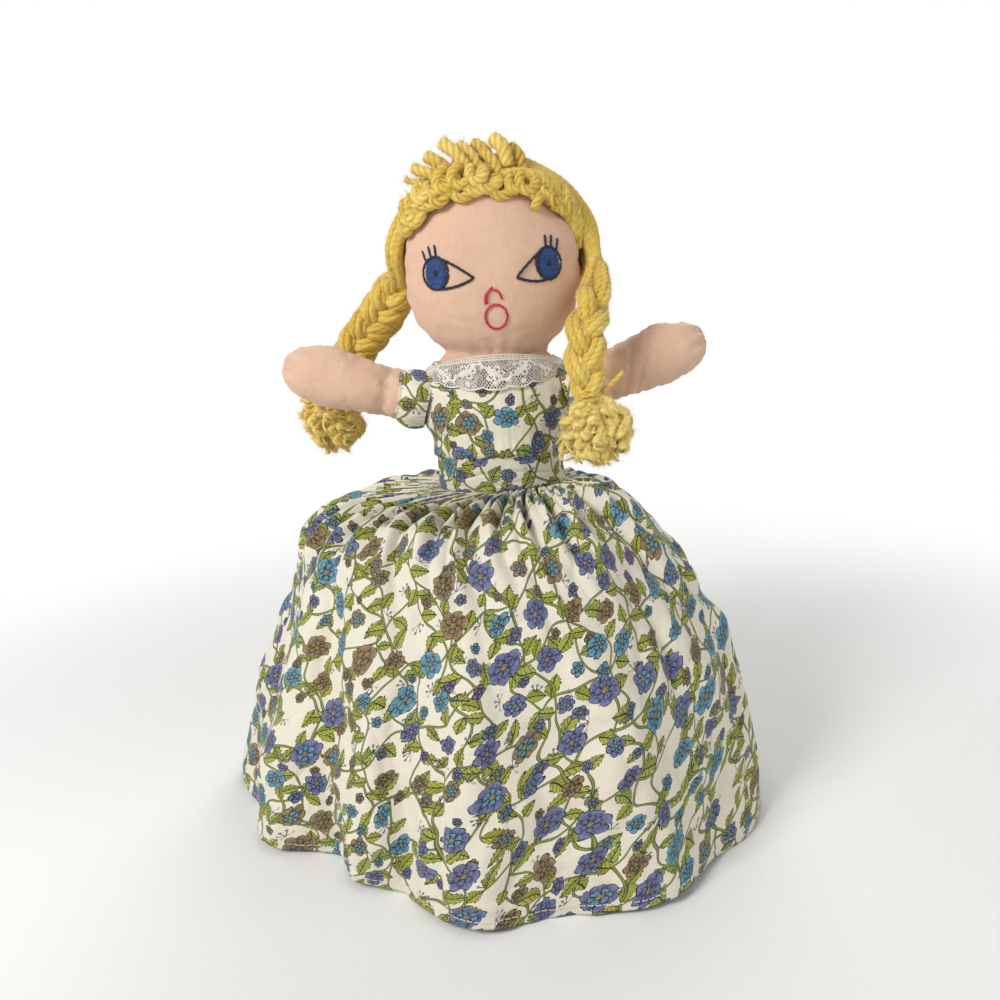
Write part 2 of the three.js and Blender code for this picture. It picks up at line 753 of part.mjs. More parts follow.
function stroke(points, width) {
  const line = points.map(([x, z]) => new THREE.Vector2(x, z));
  const sides = [1, -1].map((side) => line.map((at, i) => {
    const before = line[Math.max(i - 1, 0)];
    const after = line[Math.min(i + 1, line.length - 1)];
    const along = new THREE.Vector2().subVectors(after, before).normalize();
    return new THREE.Vector2(at.x - (along.y * side * width) / 2, at.y + (along.x * side * width) / 2);
  }));
  return frontalPrism(new THREE.Shape([...sides[0], ...sides[1].reverse()]), -cutReach, 0);
}

// The eye's outline rounds the iris and runs to a point towards the nose.
function eyeOutline(middleX, side) {
  const spread = irisHalfWidth + stitchWidth / 2 + seamGap;
  const rise = irisHalfHeight + stitchWidth / 2 + seamGap;
  const steps = outlineStepCount * 2;
  const round = Array.from({ length: steps + 1 }, (_, i) => {
    const turn = Math.PI * THREE.MathUtils.lerp(eyeOpenShare, 2 - eyeOpenShare, i / steps);
    return [middleX + side * spread * Math.cos(turn), eyeHeight + rise * Math.sin(turn)];
  });
  const place = ([x, z]) => [middleX + side * x * eyeReach, eyeHeight + z * irisHalfHeight];
  const path = [...round, ...eyeLowShares.map(place), place([1, -eyeTipShare]), ...eyeHighShares.map(place)];
  const curve = new THREE.CatmullRomCurve3(
    path.map(([x, z]) => point(x, 0, z)), true, 'catmullrom', outlineTensionShare,
  );
  const line = curve.getPoints(outlineStepCount * 4).slice(1).map((at) => [at.x, at.z]);
  const lashes = [-1, 0, 1].map((step) => {
    const x = middleX - side * lashSpacing * (lashShiftShare + step);
    const foot = eyeHeight + rise * Math.sqrt(Math.max(0, 1 - ((x - middleX) / spread) ** 2));
    const points = lashShares.map(([lean, along]) => (
      [x - side * lashLength * lean, foot + lashLength * along]));
    return stroke(points, stitchWidth * lashWidthShare);
  });
  return lashes.reduce((whole, lash) => whole.add(lash), closedStroke(line, stitchWidth));
}

function closedStroke(points, width) {
  const line = points.map(([x, z]) => new THREE.Vector2(x, z));
  const middle = line.reduce((sum, at) => sum.add(at), new THREE.Vector2()).divideScalar(line.length);
  const side = (shift) => line.map((at, i) => {
    const before = line[(i + line.length - 1) % line.length];
    const after = line[(i + 1) % line.length];
    const along = new THREE.Vector2().subVectors(after, before).normalize();
    const normal = new THREE.Vector2(-along.y, along.x);
    const outward = Math.sign(normal.dot(at.clone().sub(middle)));
    return at.clone().addScaledVector(normal, (outward * shift * width) / 2);
  });
  const outer = frontalPrism(new THREE.Shape(side(1)), -cutReach, 0);
  const inner = frontalPrism(new THREE.Shape(side(-1)), -cutReach, cutReach);
  return outer.subtract(inner);
}

function buildFace() {
  ['right', 'left'].forEach((name, i) => {
    const side = i === 0 ? 1 : -1;
    const middleX = -side * eyeOut;
    const pupil = ellipsePrism(middleX, eyeHeight, pupilHalfWidth, pupilHalfHeight);
    const pupilRoom = ellipsePrism(middleX, eyeHeight, pupilHalfWidth + seamGap, pupilHalfHeight + seamGap);
    const iris = ellipsePrism(middleX, eyeHeight, irisHalfWidth, irisHalfHeight).subtract(pupilRoom);
    embroider(`${name}_iris`, iris, 'blue');
    embroider(`${name}_pupil`, pupil, 'dark');
    embroider(`${name}_eye_outline`, eyeOutline(middleX, side), 'dark');
  });
  const mouth = ellipsePrism(0, mouthHeight, mouthHalfWidth, mouthHalfHeight).subtract(
    ellipsePrism(0, mouthHeight, mouthHalfWidth - stitchWidth, mouthHalfHeight - stitchWidth),
  );
  embroider('mouth', mouth, 'red');
  const nose = noseShares.map(([x, z]) => [x * noseHalfWidth, noseHeight + z * noseHalfWidth]);
  embroider('nose', stroke(nose, stitchWidth), 'red');
}

buildTorso();
buildHead();
buildArms();
buildLegs();
buildDressTop();
buildCollar();
buildSkirt();
buildHair();
buildBraids();
buildFace();

// The origin is on the floor, in the middle of the doll's outer box.
doll.updateMatrixWorld(true);
const whole = new THREE.Box3().setFromObject(doll, true);
const centre = whole.getCenter(new THREE.Vector3());
doll.position.set(-centre.x, -centre.y, 0);
doll.updateMatrixWorld(true);

export default doll;
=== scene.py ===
"""Looks of the rag doll: cloth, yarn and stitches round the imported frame. Metres, +Z up, the face towards -Y."""

import math

import bpy
import numpy as np
from mathutils import Matrix, Vector, noise


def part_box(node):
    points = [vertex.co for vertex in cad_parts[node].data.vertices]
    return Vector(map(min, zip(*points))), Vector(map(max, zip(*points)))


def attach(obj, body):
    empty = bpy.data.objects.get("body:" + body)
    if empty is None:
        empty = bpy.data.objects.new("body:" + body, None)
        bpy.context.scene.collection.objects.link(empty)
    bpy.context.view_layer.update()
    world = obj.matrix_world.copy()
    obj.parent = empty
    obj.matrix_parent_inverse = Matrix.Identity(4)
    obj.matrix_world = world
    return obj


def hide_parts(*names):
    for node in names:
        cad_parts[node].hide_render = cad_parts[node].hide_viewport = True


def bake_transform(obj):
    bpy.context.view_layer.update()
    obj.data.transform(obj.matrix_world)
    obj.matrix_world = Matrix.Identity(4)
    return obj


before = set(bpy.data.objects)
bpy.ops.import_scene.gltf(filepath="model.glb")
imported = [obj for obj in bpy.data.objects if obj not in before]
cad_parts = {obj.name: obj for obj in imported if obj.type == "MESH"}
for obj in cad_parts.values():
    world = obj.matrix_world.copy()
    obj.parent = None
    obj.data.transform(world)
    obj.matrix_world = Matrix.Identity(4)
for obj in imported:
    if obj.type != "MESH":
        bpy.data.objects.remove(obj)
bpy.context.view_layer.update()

MM = 0.001
TURN = 2 * math.pi
WAIST_LOW, WAIST_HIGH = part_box("waistband")
AXIS = np.array([(WAIST_LOW.x + WAIST_HIGH.x) / 2, (WAIST_LOW.y + WAIST_HIGH.y) / 2, 0.0])
WAIST = WAIST_LOW.z / MM
WAIST_WIDE, WAIST_DEEP = [(WAIST_HIGH[k] - WAIST_LOW[k]) / 2 / MM - 1.2 for k in (0, 1)]
SIDES = {"right": -1, "left": 1}
draw = np.random.default_rng(11)


def place(points):
    """Points in millimetres from the doll's upright axis, as metres in the row frame."""
    return np.asarray(points, float) * MM + AXIS


def spot(x, y, z):
    return Vector(place((x, y, z)))


# Shapes shared with the solids, in millimetres from the doll's axis
HEAD_BOTTOM, HEAD_HEIGHT, HEAD_WIDE, HEAD_DEEP = 212.0, 96.0, 43.5, 25.0
HEAD_SHARES = ((0, .57, .47), (.15, .58, .49), (.24, .8, .76), (.34, .94, .93), (.47, 1, 1), (.64, .98, 1),
               (.8, .82, .88), (.92, .52, .62), (.98, .25, .34), (1, 0, 0))
TORSO_BOTTOM, TORSO_HEIGHT, TORSO_WIDE, TORSO_DEEP = 144.0, 90.0, 36.0, 20.5
TORSO_SHARES = ((0, 0, 0), (.012, .45, .5), (.06, .78, .83), (.2, .84, .96), (.38, .83, .98), (.55, .95, 1),
                (.7, 1, .88), (.78, .96, .7), (.86, .8, .6), (.93, .64, .52), (1, .56, .5))
ARM_LENGTH, ARM_WIDE, ARM_DEEP, ARM_RAISE = 67.0, 15.7, 13.2, math.radians(18)
ARM_SHARES = ((0, .74, .82), (.2, .77, .84), (.42, .91, .94), (.66, 1, 1), (.79, .93, .95), (.89, .74, .8),
              (.96, .5, .56), (1, 0, 0))
LEG_LENGTH, LEG_WIDE, FOOT_FORWARD = 140.9, 12.0, 11.0
LEG_SHARES = ((0, .98, .98, 0), (.3, 1, 1, 0), (.52, .82, .84, 0), (.7, .86, .9, 0), (.87, .7, .78, .1),
              (.94, .82, 1.1, .55), (.985, .8, 1.12, .8), (1, 0, 0, .85))
SKIRT_SHARES = ((0, 0, 0), (.012, .2, .55), (.04, .37, .85), (.1, .48, .88), (.19, .56, .7), (.32, .66, .55),
                (.5, .79, .53), (.68, .89, .68), (.85, .95, .88), (1, 1, 1))
HEM_WIDE, HEM_DEEP, HEM_SHIFT = 137.0, 129.0, -19.0
SHOULDER = (40.0, 0.0, 205.0)
HIP = (15.0, 0.0, 141.5)
HEAD_MIDDLE = np.array([0, 0, 262.0])
HEAD_ASKEW = 2.0  # how far the sewn head sits towards the doll's left
SEAM_PINCH = 1.25  # how far flat panels draw in to their side seams
STUFFING_SCALE = 10.0  # the simulation is steady at this size only
STUFFING_STEP, STUFFING_FRAMES = 3, 20  # the simulation takes every third point, and runs for so many frames
BRAID_ROUTES = {
    "right": ((-47, 14.5, 262), (-56, 25, 250), (-73, 31, 232), (-85, 33, 213), (-92, 34, 197), (-96, 34, 177)),
    "left": ((49, -9, 262), (46.5, -20, 249), (40, -30, 232), (39, -33, 212), (42, -33.5, 194), (45, -33.5, 171)),
}
BRAID_SIZES = {  # radii from its root to its tie, length of one crossing, where that starts, radius of its yarn
    "right": ((7.6, 10.2, 11.4, 10.4, 5.2), 33.0, 1.1, 2.15),
    "left": ((3.6, 5.0, 8.6, 9.2, 5.0), 43.0, .2, 1.95),
}
BRAID_END = .66  # the share of a braid above its tie
BRAID_LAY = 46  # the length in which a strand's yarns turn round each other once
TUFT_STRANDS, TUFT_FINE, TUFT_WIDE, TUFT_DEEP = 42, 32, 16.6, 9.6

# Flat sizes before sewing, in millimetres
SKIRT_FLAT, SKIRT_TOP, SKIRT_TALL, HEM_TURNING = 900.0, 600.0, 212.0, 4.0
HEM_LINE, HEM_STITCH_EVERY, HEM_STITCH = 4.6, 3.2, 2.3  # the line's height above the hem's edge
LACE_ROUND, LACE_DEEP, LACE_REPEAT = 168, 15, 10.5
HEAD_GIRTH, TORSO_GIRTH, ARM_GIRTH, LEG_GIRTH, SLEEVE_GIRTH = 268, 200, 84, 76, 86
BODICE_GIRTH, WAISTBAND_GIRTH = 212, 190


def smooth_table(table, at, column=1):
    """A smooth curve, without overshoots, through one column of a table of shares."""
    table = np.array(table, float)
    x, y = table[:, 0], table[:, column]
    step = np.diff(y) / np.diff(x)
    both = step[1:] + step[:-1]
    inner = np.where(step[1:] * step[:-1] > 0, 2 * step[1:] * step[:-1] / np.where(both == 0, 1, both), 0)
    slope = np.concatenate([step[:1], inner, step[-1:]])
    i = np.clip(np.searchsorted(x, at) - 1, 0, len(x) - 2)
    h = x[i + 1] - x[i]
    t = np.clip((at - x[i]) / h, 0, 1)
    return ((2 * t**3 - 3 * t**2 + 1) * y[i] + (t**3 - 2 * t**2 + t) * h * slope[i]
            + (3 * t**2 - 2 * t**3) * y[i + 1] + (t**3 - t**2) * h * slope[i + 1])


def run_length(points):
    """How far along a line of points each of them is."""
    return np.concatenate([[0], np.cumsum(np.linalg.norm(np.diff(points, axis=0), axis=1))])


def bump(value, middle, width):
    """Rises smoothly from 0 to 1 where the value is at the middle."""
    return np.exp(-((value - middle) / width) ** 2)


def points_at(way, run, line):
    """The points of a line so far along it, where run is how far along each of its own points is."""
    return np.stack([np.interp(way, run, column) for column in line.T], 1)


def smooth_path(points, count):
    """Evenly spaced points on a smooth line through the given ones."""
    points = np.asarray(points, float)
    along = run_length(points)
    dense = np.linspace(0, along[-1], 12 * len(points))
    line = np.stack([smooth_table(np.stack([along, column], 1), dense) for column in points.T], 1)
    run = run_length(line)
    return points_at(np.linspace(0, run[-1], count), run, line)


def wobble(points, scale, seed):
    """Smooth noise from -1 to 1 at each point, with features about scale wide."""
    offset = Vector((seed * 7.31, seed * 3.17, seed * 5.73))
    flat = np.asarray(points, float).reshape(-1, 3) / scale
    values = np.array([noise.noise(Vector(p) + offset) for p in flat])
    return values.reshape(np.shape(points)[:-1])


def unit(vectors):
    return vectors / np.maximum(np.linalg.norm(vectors, axis=-1, keepdims=True), 1e-9)


class Shape:
    """Collects faces, their flat pattern coordinates and a tone for each point, and makes one mesh of them."""

    def __init__(self, shift=0.0):
        self.points, self.tones, self.faces, self.shift, self.count = [], [], [], shift, 0

    def add(self, points, tone, faces, uvs):
        points = np.asarray(points, float).reshape(-1, 3)
        self.points.append(points)
        self.tones.append(np.broadcast_to(tone, len(points)))
        self.faces.append((np.asarray(faces) + self.count, np.asarray(uvs, float)))
        self.count += len(points)

    def grid(self, points, uv, wrap=False, tone=0.5):
        """Quads over rows of points. uv has one more column than points where the grid wraps round."""
        rows, columns = points.shape[:2]
        r, c = np.meshgrid(np.arange(rows - 1), np.arange(columns if wrap else columns - 1), indexing="ij")
        after = (c + 1) % columns
        corners = [(r, c, c), (r, after, c + 1), (r + 1, after, c + 1), (r + 1, c, c)]
        faces = np.stack([a * columns + b for a, b, _ in corners], -1).reshape(-1, 4)
        uvs = np.stack([uv[a, b] for a, _, b in corners], -2).reshape(-1, 4, 2)
        self.add(points, np.asarray(tone).reshape(-1) if np.ndim(tone) else tone, faces, uvs)

    def fan(self, ring, middle, tone=0.5, flip=False):
        """Closes a ring with a fan of triangles round its middle."""
        count = len(ring)
        k = np.arange(count)
        faces = np.stack([k, (k + 1) % count, np.full(count, count)], 1)
        faces = faces[:, ::-1] if flip else faces
        self.add(np.vstack([ring, middle]), tone, faces, np.zeros((count, 3, 2)))

    def tube(self, points, uv, ends=None, tone=0.5, end_tone=0.5):
        """A grid that wraps round, with both ends closed: round the given middles, or else round their own."""
        first, last = (points[0].mean(0), points[-1].mean(0)) if ends is None else ends
        self.grid(points, uv, wrap=True, tone=tone)
        self.fan(points[0], first, end_tone, flip=True)
        self.fan(points[-1], last, end_tone)

    def make(self, name, material, thickness=0.0):
        """The finished piece, with that thickness of cloth inwards if one is given."""
        mesh = bpy.data.meshes.new(name)
        points = place(np.vstack(self.points) + (self.shift, 0, 0))
        mesh.vertices.add(len(points))
        mesh.vertices.foreach_set("co", points.ravel())
        loops = np.concatenate([f.ravel() for f, _ in self.faces])
        sizes = np.concatenate([np.full(len(f), f.shape[1]) for f, _ in self.faces])
        mesh.loops.add(len(loops))
        mesh.loops.foreach_set("vertex_index", loops)
        mesh.polygons.add(len(sizes))
        mesh.polygons.foreach_set("loop_start", np.concatenate([[0], np.cumsum(sizes)[:-1]]))
        mesh.update(calc_edges=True)
        flat = mesh.uv_layers.new(name="UVMap")
        flat.uv.foreach_set("vector", np.concatenate([u.reshape(-1, 2) for _, u in self.faces]).ravel() * MM)
        tone = mesh.attributes.new("tone", "FLOAT", "POINT")
        tone.data.foreach_set("value", np.concatenate(self.tones).astype(np.float32))
        mesh.polygons.foreach_set("use_smooth", np.ones(len(sizes), bool))
        mesh.materials.append(material)
        piece = bpy.data.objects.new(name, mesh)
        bpy.context.scene.collection.objects.link(piece)
        if thickness:
            solid = piece.modifiers.new("thickness", "SOLIDIFY")
            solid.thickness = thickness * MM
            solid.offset = -1
        return piece


def grid_normals(points):
    """Normals of a grid that wraps round in its columns."""
    along = np.gradient(points, axis=0)
    across = (np.roll(points, -1, 1) - np.roll(points, 1, 1)) / 2
    return unit(np.cross(across, along))


def raised(points, height):
    """A grid that wraps round, moved out by the height at each point."""
    return points + grid_normals(points) * height[..., None]


def rings(widths, depths, heights, shifts=0.0, sides=128, pinch=SEAM_PINCH):
    """Rows of points round the upright axis, drawn in to two side seams by pinch."""
    turn = np.arange(sides) / sides * TURN
    x = np.outer(widths, np.cos(turn))
    y = np.outer(depths, np.sign(np.sin(turn)) * np.abs(np.sin(turn)) ** pinch) - np.reshape(shifts, (-1, 1))
    return np.stack([x, y, np.broadcast_to(np.reshape(heights, (-1, 1)), x.shape)], -1)


def turn_uv(points, width):
    """Flat coordinates for rings: the way round scaled to width, and the way along them."""
    sides = points.shape[1]
    step = np.linalg.norm(np.diff(points, axis=0), axis=-1).mean(1)
    along = np.concatenate([[0], np.cumsum(step)])
    return np.stack(np.meshgrid(np.arange(sides + 1) / sides * width, along), -1)


def tube_frame(path):
    """Directions along and across a line, turning as little as they can."""
    along = unit(np.gradient(path, axis=0))
    side = np.cross(along[0], (0.3, 0.2, 1.0))
    sides = []
    for t in along:
        side = side - t * np.dot(side, t)
        side = side / max(np.linalg.norm(side), 1e-9)
        sides.append(side)
    sides = np.array(sides)
    return along, sides, np.cross(along, sides)


def ring_points(path, side, other, size, sides):
    """Rings round a line. size has one column, or one for each side."""
    turn = np.arange(sides) / sides * TURN
    out = side[:, None] * np.cos(turn)[None, :, None] + other[:, None] * np.sin(turn)[None, :, None]
    return path[:, None] + out * size[..., None]


def ring_uv(run, radius, sides):
    """Flat coordinates for rings of that radius round a line."""
    return np.stack(np.meshgrid(np.arange(sides + 1) / sides * radius * 6, run), -1)


def yarn(shape, path, radius, plies=4, pitch=12, sides=16, ends=(.55, .55), start=0.0, hairs=0.0, reach=2.6,
         pale=0.0):
    """One plied strand: a tube whose section has a lobe for each ply and turns along the strand.

    ends says how blunt the two ends are, hairs how many loose fibres there are on a millimetre, and reach how long.
    pale is painted light: it lightens the strand and its fibres against the shade that thin strands cast on each
    other.
    """
    path = np.asarray(path, float)
    run = run_length(path)
    along, side, other = tube_frame(path)
    cap = [np.sqrt(np.clip(way / radius + end, 0, 1)) for way, end in zip((run, run[-1] - run), ends)]
    turn = np.arange(sides) / sides * TURN
    twist = start + run / pitch * TURN
    lobe = np.abs(np.cos(plies / 2 * (turn[None] - twist[:, None])))
    breath = 1 + .07 * np.sin(run / 3.7 + start * 5)
    size = (radius * cap[0] * cap[1] * breath)[:, None] * (.84 + .16 * lobe ** .8)
    points = ring_points(path, side, other, size, sides)
    # pale adds painted light, lifting thin strands out of their own shadow
    shade = float(draw.uniform(0, .35)) + pale
    uv = ring_uv(run, radius, sides)
    uv[..., 1] += draw.uniform(0, 500)
    tips = path[0] - along[0] * radius * .2, path[-1] + along[-1] * radius * .2
    # painted shade: the tone is darker in the grooves between the plies and lighter on their crests
    shape.tube(points, uv, tips, shade + .6 * lobe - .02, shade + .3)
    count = int(run[-1] * hairs)
    if count:
        fibres(shape, path, side, other, along, radius, count, reach, shade)


FIBRE_RADIUS = .075


def fibres(shape, path, side, other, along, radius, count, reach, shade):
    """Loose wool fibres that curl off a strand, painted lighter than it as lit fuzz."""
    i = draw.integers(0, len(path), count)
    angle = draw.uniform(0, TURN, count)
    out = side[i] * np.cos(angle)[:, None] + other[i] * np.sin(angle)[:, None]
    lean = unit(out * .8 + along[i] * draw.uniform(-1, 1, (count, 1)) + draw.normal(0, .35, (count, 3)))
    long = draw.uniform(.5, 1, count) ** 2 * reach
    root = path[i] + out * radius * .86
    middle = root + lean * (long * .5)[:, None]
    tip = middle + unit(lean + draw.normal(0, .7, (count, 3))) * (long * .55)[:, None]
    across = unit(np.cross(lean, draw.normal(0, 1, (count, 3))))
    deep = np.cross(lean, across)
    corners = [across, -.5 * across + .87 * deep, -.5 * across - .87 * deep]
    base = [root + c * FIBRE_RADIUS for c in corners]
    bend = [middle + c * FIBRE_RADIUS * .8 for c in corners]
    points = np.stack(base + bend + [tip], 1)
    faces = [(0, 1, 4, 3), (1, 2, 5, 4), (2, 0, 3, 5)]
    tips = [(3, 4, 6), (4, 5, 6), (5, 3, 6), (2, 1, 0)]
    offset = np.arange(count)[:, None, None] * points.shape[1]
    quads = (np.array(faces)[None] + offset).reshape(-1, 4)
    triangles = (np.array(tips)[None] + offset).reshape(-1, 3)
    first = shape.count
    # painted light: the fibres' tone is raised above their strand's, so the fuzz reads as lit
    shape.add(points, shade + .45, quads, np.zeros((len(quads), 4, 2)))
    shape.faces.append((triangles + first, np.zeros((len(triangles), 3, 2))))


def thread(shape, path, radius, sides=7, tone=.5):
    """A plain sewn thread with rounded ends."""
    path = np.asarray(path, float)
    _, side, other = tube_frame(path)
    share = np.linspace(0, 1, len(path))
    size = radius * np.sqrt(np.clip(1 - np.abs(2 * share - 1) ** 6, .12, 1))
    points = ring_points(path, side, other, size[:, None], sides)
    shape.tube(points, ring_uv(run_length(path), radius, sides), (path[0], path[-1]), tone, tone)


# ---------------------------------------------------------------- shader maths

def ink(red, green, blue):
    """A colour as it looks on paper, turned into the light it gives back."""
    share = [c / 255 for c in (red, green, blue)]
    return tuple(c / 12.92 if c <= .04045 else ((c + .055) / 1.055) ** 2.4 for c in share) + (1.0,)


class Value:
    """A number that differs over the surface, with plain arithmetic."""

    def __init__(self, kit, socket):
        self.kit, self.socket = kit, socket

    def run(self, operation, *others):
        return self.kit.math(operation, self, *others)

    def __add__(self, other):
        return self.run("ADD", other)

    def __sub__(self, other):
        return self.run("SUBTRACT", other)

    def __rsub__(self, other):
        return self.kit.math("SUBTRACT", other, self)

    def __mul__(self, other):
        return self.run("MULTIPLY", other)

    def __truediv__(self, other):
        return self.run("DIVIDE", other)

    __radd__, __rmul__ = __add__, __mul__


class Kit:
    """The nodes of one material."""

    def __init__(self, name, sockets):
        self.material = bpy.data.materials.new(name)
        self.material.use_nodes = True
        self.tree = self.material.node_tree
        self.shader = self.tree.nodes["Principled BSDF"]
        for key, value in sockets.items():
            self.shader.inputs[key].default_value = value

    def node(self, kind, inputs, output=0, **settings):
        made = self.tree.nodes.new(kind)
        for key, value in settings.items():
            setattr(made, key, value)
        for key, value in inputs.items():
            if isinstance(value, Value):
                self.tree.links.new(value.socket, made.inputs[key])
            elif value is not None:
                made.inputs[key].default_value = value
        return Value(self, made.outputs[output])

    def math(self, operation, *values):
        return self.node("ShaderNodeMath", dict(enumerate(values)), operation=operation)

    def step(self, value, low, high):
        """Rises smoothly from 0 at low to 1 at high."""
        return self.node("ShaderNodeMapRange", {0: value, 1: low, 2: high}, interpolation_type="SMOOTHSTEP")

    def under(self, value, low, high):
        """Falls smoothly from 1 at low to 0 at high."""
        return 1 - self.step(value, low, high)

    def over(self, value, limit):
        """Chooses by chance: 1 where the value is over the limit, else 0."""
        return self.step(value, limit, limit + .005)

    def mix(self, share, a, b, kind="MIX"):
        return self.node("ShaderNodeMix", {0: share, 6: a, 7: b}, 2, data_type="RGBA", blend_type=kind)

    def flat(self):
        """The pattern coordinates across and along, in millimetres."""
        uv = self.node("ShaderNodeUVMap", {}, uv_map="UVMap")
        parts = self.tree.nodes.new("ShaderNodeSeparateXYZ")
        self.tree.links.new(uv.socket, parts.inputs[0])
        return [Value(self, parts.outputs[k]) * 1000 for k in (0, 1)]

    def vector(self, x, y, z):
        return self.node("ShaderNodeCombineXYZ", {0: x, 1: y, 2: z})

    def noise(self, x, y, size, detail=2.0, seed=0.0):
        """Noise about .5, with features of one size in millimetres."""
        at = self.vector(x, y, seed)
        return self.node("ShaderNodeTexNoise", {"Vector": at, "Scale": 1 / size, "Detail": detail})

    def random(self, x, y, seed):
        made = self.node("ShaderNodeTexWhiteNoise", {"Vector": self.vector(x, y, seed)}, 1)
        parts = self.tree.nodes.new("ShaderNodeSeparateColor")
        self.tree.links.new(made.socket, parts.inputs[0])
        return [Value(self, parts.outputs[k]) for k in range(3)]

    def tone(self):
        return self.node("ShaderNodeAttribute", {}, 2, attribute_name="tone")

    def finish(self, colour, height=None, strength=.5, distance=.0003, rough=None):
        self.tree.links.new(colour.socket, self.shader.inputs["Base Color"])
        if rough is not None:
            self.tree.links.new(rough.socket, self.shader.inputs["Roughness"])
        if height is not None:
            relief = self.node("ShaderNodeBump", {"Height": height, "Strength": strength, "Distance": distance})
            self.tree.links.new(relief.socket, self.shader.inputs["Normal"])
        return self.material


def woven(kit, x, y, pitch):
    """A plain weave of that pitch: threads over and under, with slubs. Returns a height from 0 to 1."""
    slub = kit.noise(x * .08, y, pitch * 2.2, 2) + kit.noise(x, y * .08, pitch * 2.2, 2, 4)
    over = (x * (TURN / 2 / pitch)).run("SINE") * (y * (TURN / 2 / pitch)).run("SINE")
    warp = (x * (TURN / pitch)).run("COSINE")
    weft = (y * (TURN / pitch)).run("COSINE")
    return over * .22 + (warp + weft) * .1 + slub * .35 + .1


# Colours of the print and the other stuffs
CREAM, INK = ink(236, 229, 210), ink(34, 29, 38)
BLUES = (ink(106, 112, 156), ink(72, 78, 122), ink(136, 142, 182))
TEALS = (ink(92, 152, 174), ink(54, 112, 138), ink(132, 184, 200))
TAUPES = (ink(142, 118, 78), ink(104, 82, 50), ink(172, 148, 104))
LEAF, LEAF_DARK, LEAF_LINE = ink(158, 165, 58), ink(108, 122, 38), ink(38, 42, 22)
VINE = ink(148, 158, 62)

# Sizes of the print, in millimetres
VINE_SPACING, VINE_SWING, LEAF_EVERY, LEAF_TOOTH = 27.5, 3.4, 10.6, 2.1
SPRAY_CELL, FLOWER_CELL = (17, 15), (19.2, 17.6)
PRINT_WEAVE, MUSLIN_WEAVE, FLOSS_STRAND = .42, .46, .42


def scatter(kit, x, y, wide, high, seed, jitter):
    """Staggered cells: the way from the middle of a point's own cell, and three random shares of that cell."""
    row = (y / high + seed * .31).run("FLOOR")
    slide = row.run("FLOORED_MODULO", 2) * .5 + seed * .17
    column = (x / wide + slide).run("FLOOR")
    random = kit.random(column, row, seed)
    across = (x / wide + slide - column - .5) * wide + (random[0] - .5) * jitter
    up = (y / high + seed * .31 - row - .5) * high + (random[1] - .5) * jitter
    return across, up, kit.random(row, column, seed + 9.5)


def turned(x, y, angle):
    """A way given by x and y, in directions turned by the angle."""
    cosine, sine = angle.run("COSINE"), angle.run("SINE")
    return x * cosine + y * sine, y * cosine - x * sine


def flower(kit, colour, x, y, radius, petals, random, present):
    """Lays a flower over the colour so far: crinkled outlined petals, a smaller round on them and a dotted heart."""
    away = (x * x + y * y).run("SQRT")
    crinkle = kit.noise(x + random[0] * 90, y, 2.4, 2, 3) - .5
    angle = y.run("ARCTAN2", x) + random[0] * TURN
    which, streak = random[1], kit.noise(x * 1.5, y * 1.5, .9, 1, 5)
    taupe, teal, second = kit.over(which, .66), kit.over(which, .36), kit.over(random[0], .5)
    family = [kit.mix(taupe, kit.mix(teal, BLUES[k], TEALS[k]), TAUPES[k]) for k in range(3)]
    for layer, size in ((0, 1), (1, .56)):
        bend = angle + crinkle * .8 + layer * .7
        lobes = (bend * (petals / 2)).run("COSINE").run("ABSOLUTE")
        rim = (lobes.run("POWER", .55) * .26 + .74 + crinkle * .34) * radius * size
        ratio, inner = away / rim, rim - away
        if layer:
            family = [kit.mix(second, family[k], TEALS[k]) for k in range(3)]
        pale = kit.mix(lobes * .8, family[0], family[2])
        petal = kit.mix(ratio * .9 + (streak - .5) * .9 - .05, family[1], pale)
        line = kit.step((bend * (petals * 3)).run("COSINE") + streak * .3, .86, 1.04) * kit.step(ratio, .4, .55)
        petal = kit.mix(line * kit.under(ratio, .72, .86) * .75, petal, INK)
        gap = kit.under(lobes * away * (2 / petals), .2, .4) * kit.step(ratio, .3, .42)
        petal = kit.mix(gap * .94, petal, INK)
        petal = kit.mix(kit.under(inner, .3, .54) * .96, petal, INK)
        colour = kit.mix(kit.step(inner, -.09, .07) * present, colour, petal)
    heart = kit.mix(taupe, TAUPES[2], LEAF)
    heart = kit.mix(kit.step(kit.noise(x, y, .55, 1, 7), .5, .56) * .8, heart, INK)
    core = away / radius
    heart = kit.mix(kit.step(core, .13, .17) * .9, heart, INK)
    return kit.mix(kit.under(core, .19, .22) * present, colour, heart)


def leaf(kit, colour, along, across, length, width, present):
    """Lays a pointed, toothed leaf with its ribs over the colour so far."""
    share = along / length
    side = (across + along * along * .02).run("ABSOLUTE")
    teeth = ((along * -1 + side * .7) * (1 / LEAF_TOOTH)).run("FRACT") * .75 - .3
    half = (1 - share * share) * (1 - share * .3) * width + teeth * (1 - share * share).run("SQRT")
    ribs = ((along - side * 1.2) * (TURN / LEAF_TOOTH)).run("SINE")
    ribs = kit.step(ribs, .72, .94) * kit.step(half - side, .3, .9)
    green = kit.mix(kit.noise(along, across, 2.5, 2, 6), LEAF, ink(182, 188, 76))
    green = kit.mix(kit.step(across, -.1, .1) * .35, green, LEAF_DARK)
    green = kit.mix(ribs * .92, green, LEAF_LINE)
    green = kit.mix(kit.under(side, .16, .36), green, LEAF_LINE)
    green = kit.mix(kit.under(half - side, .3, .54) * .96, green, LEAF_LINE)
    inside = kit.step(half - side, -.07, .09) * kit.under(share.run("ABSOLUTE"), .97, 1) * present
    return kit.mix(inside, colour, green)


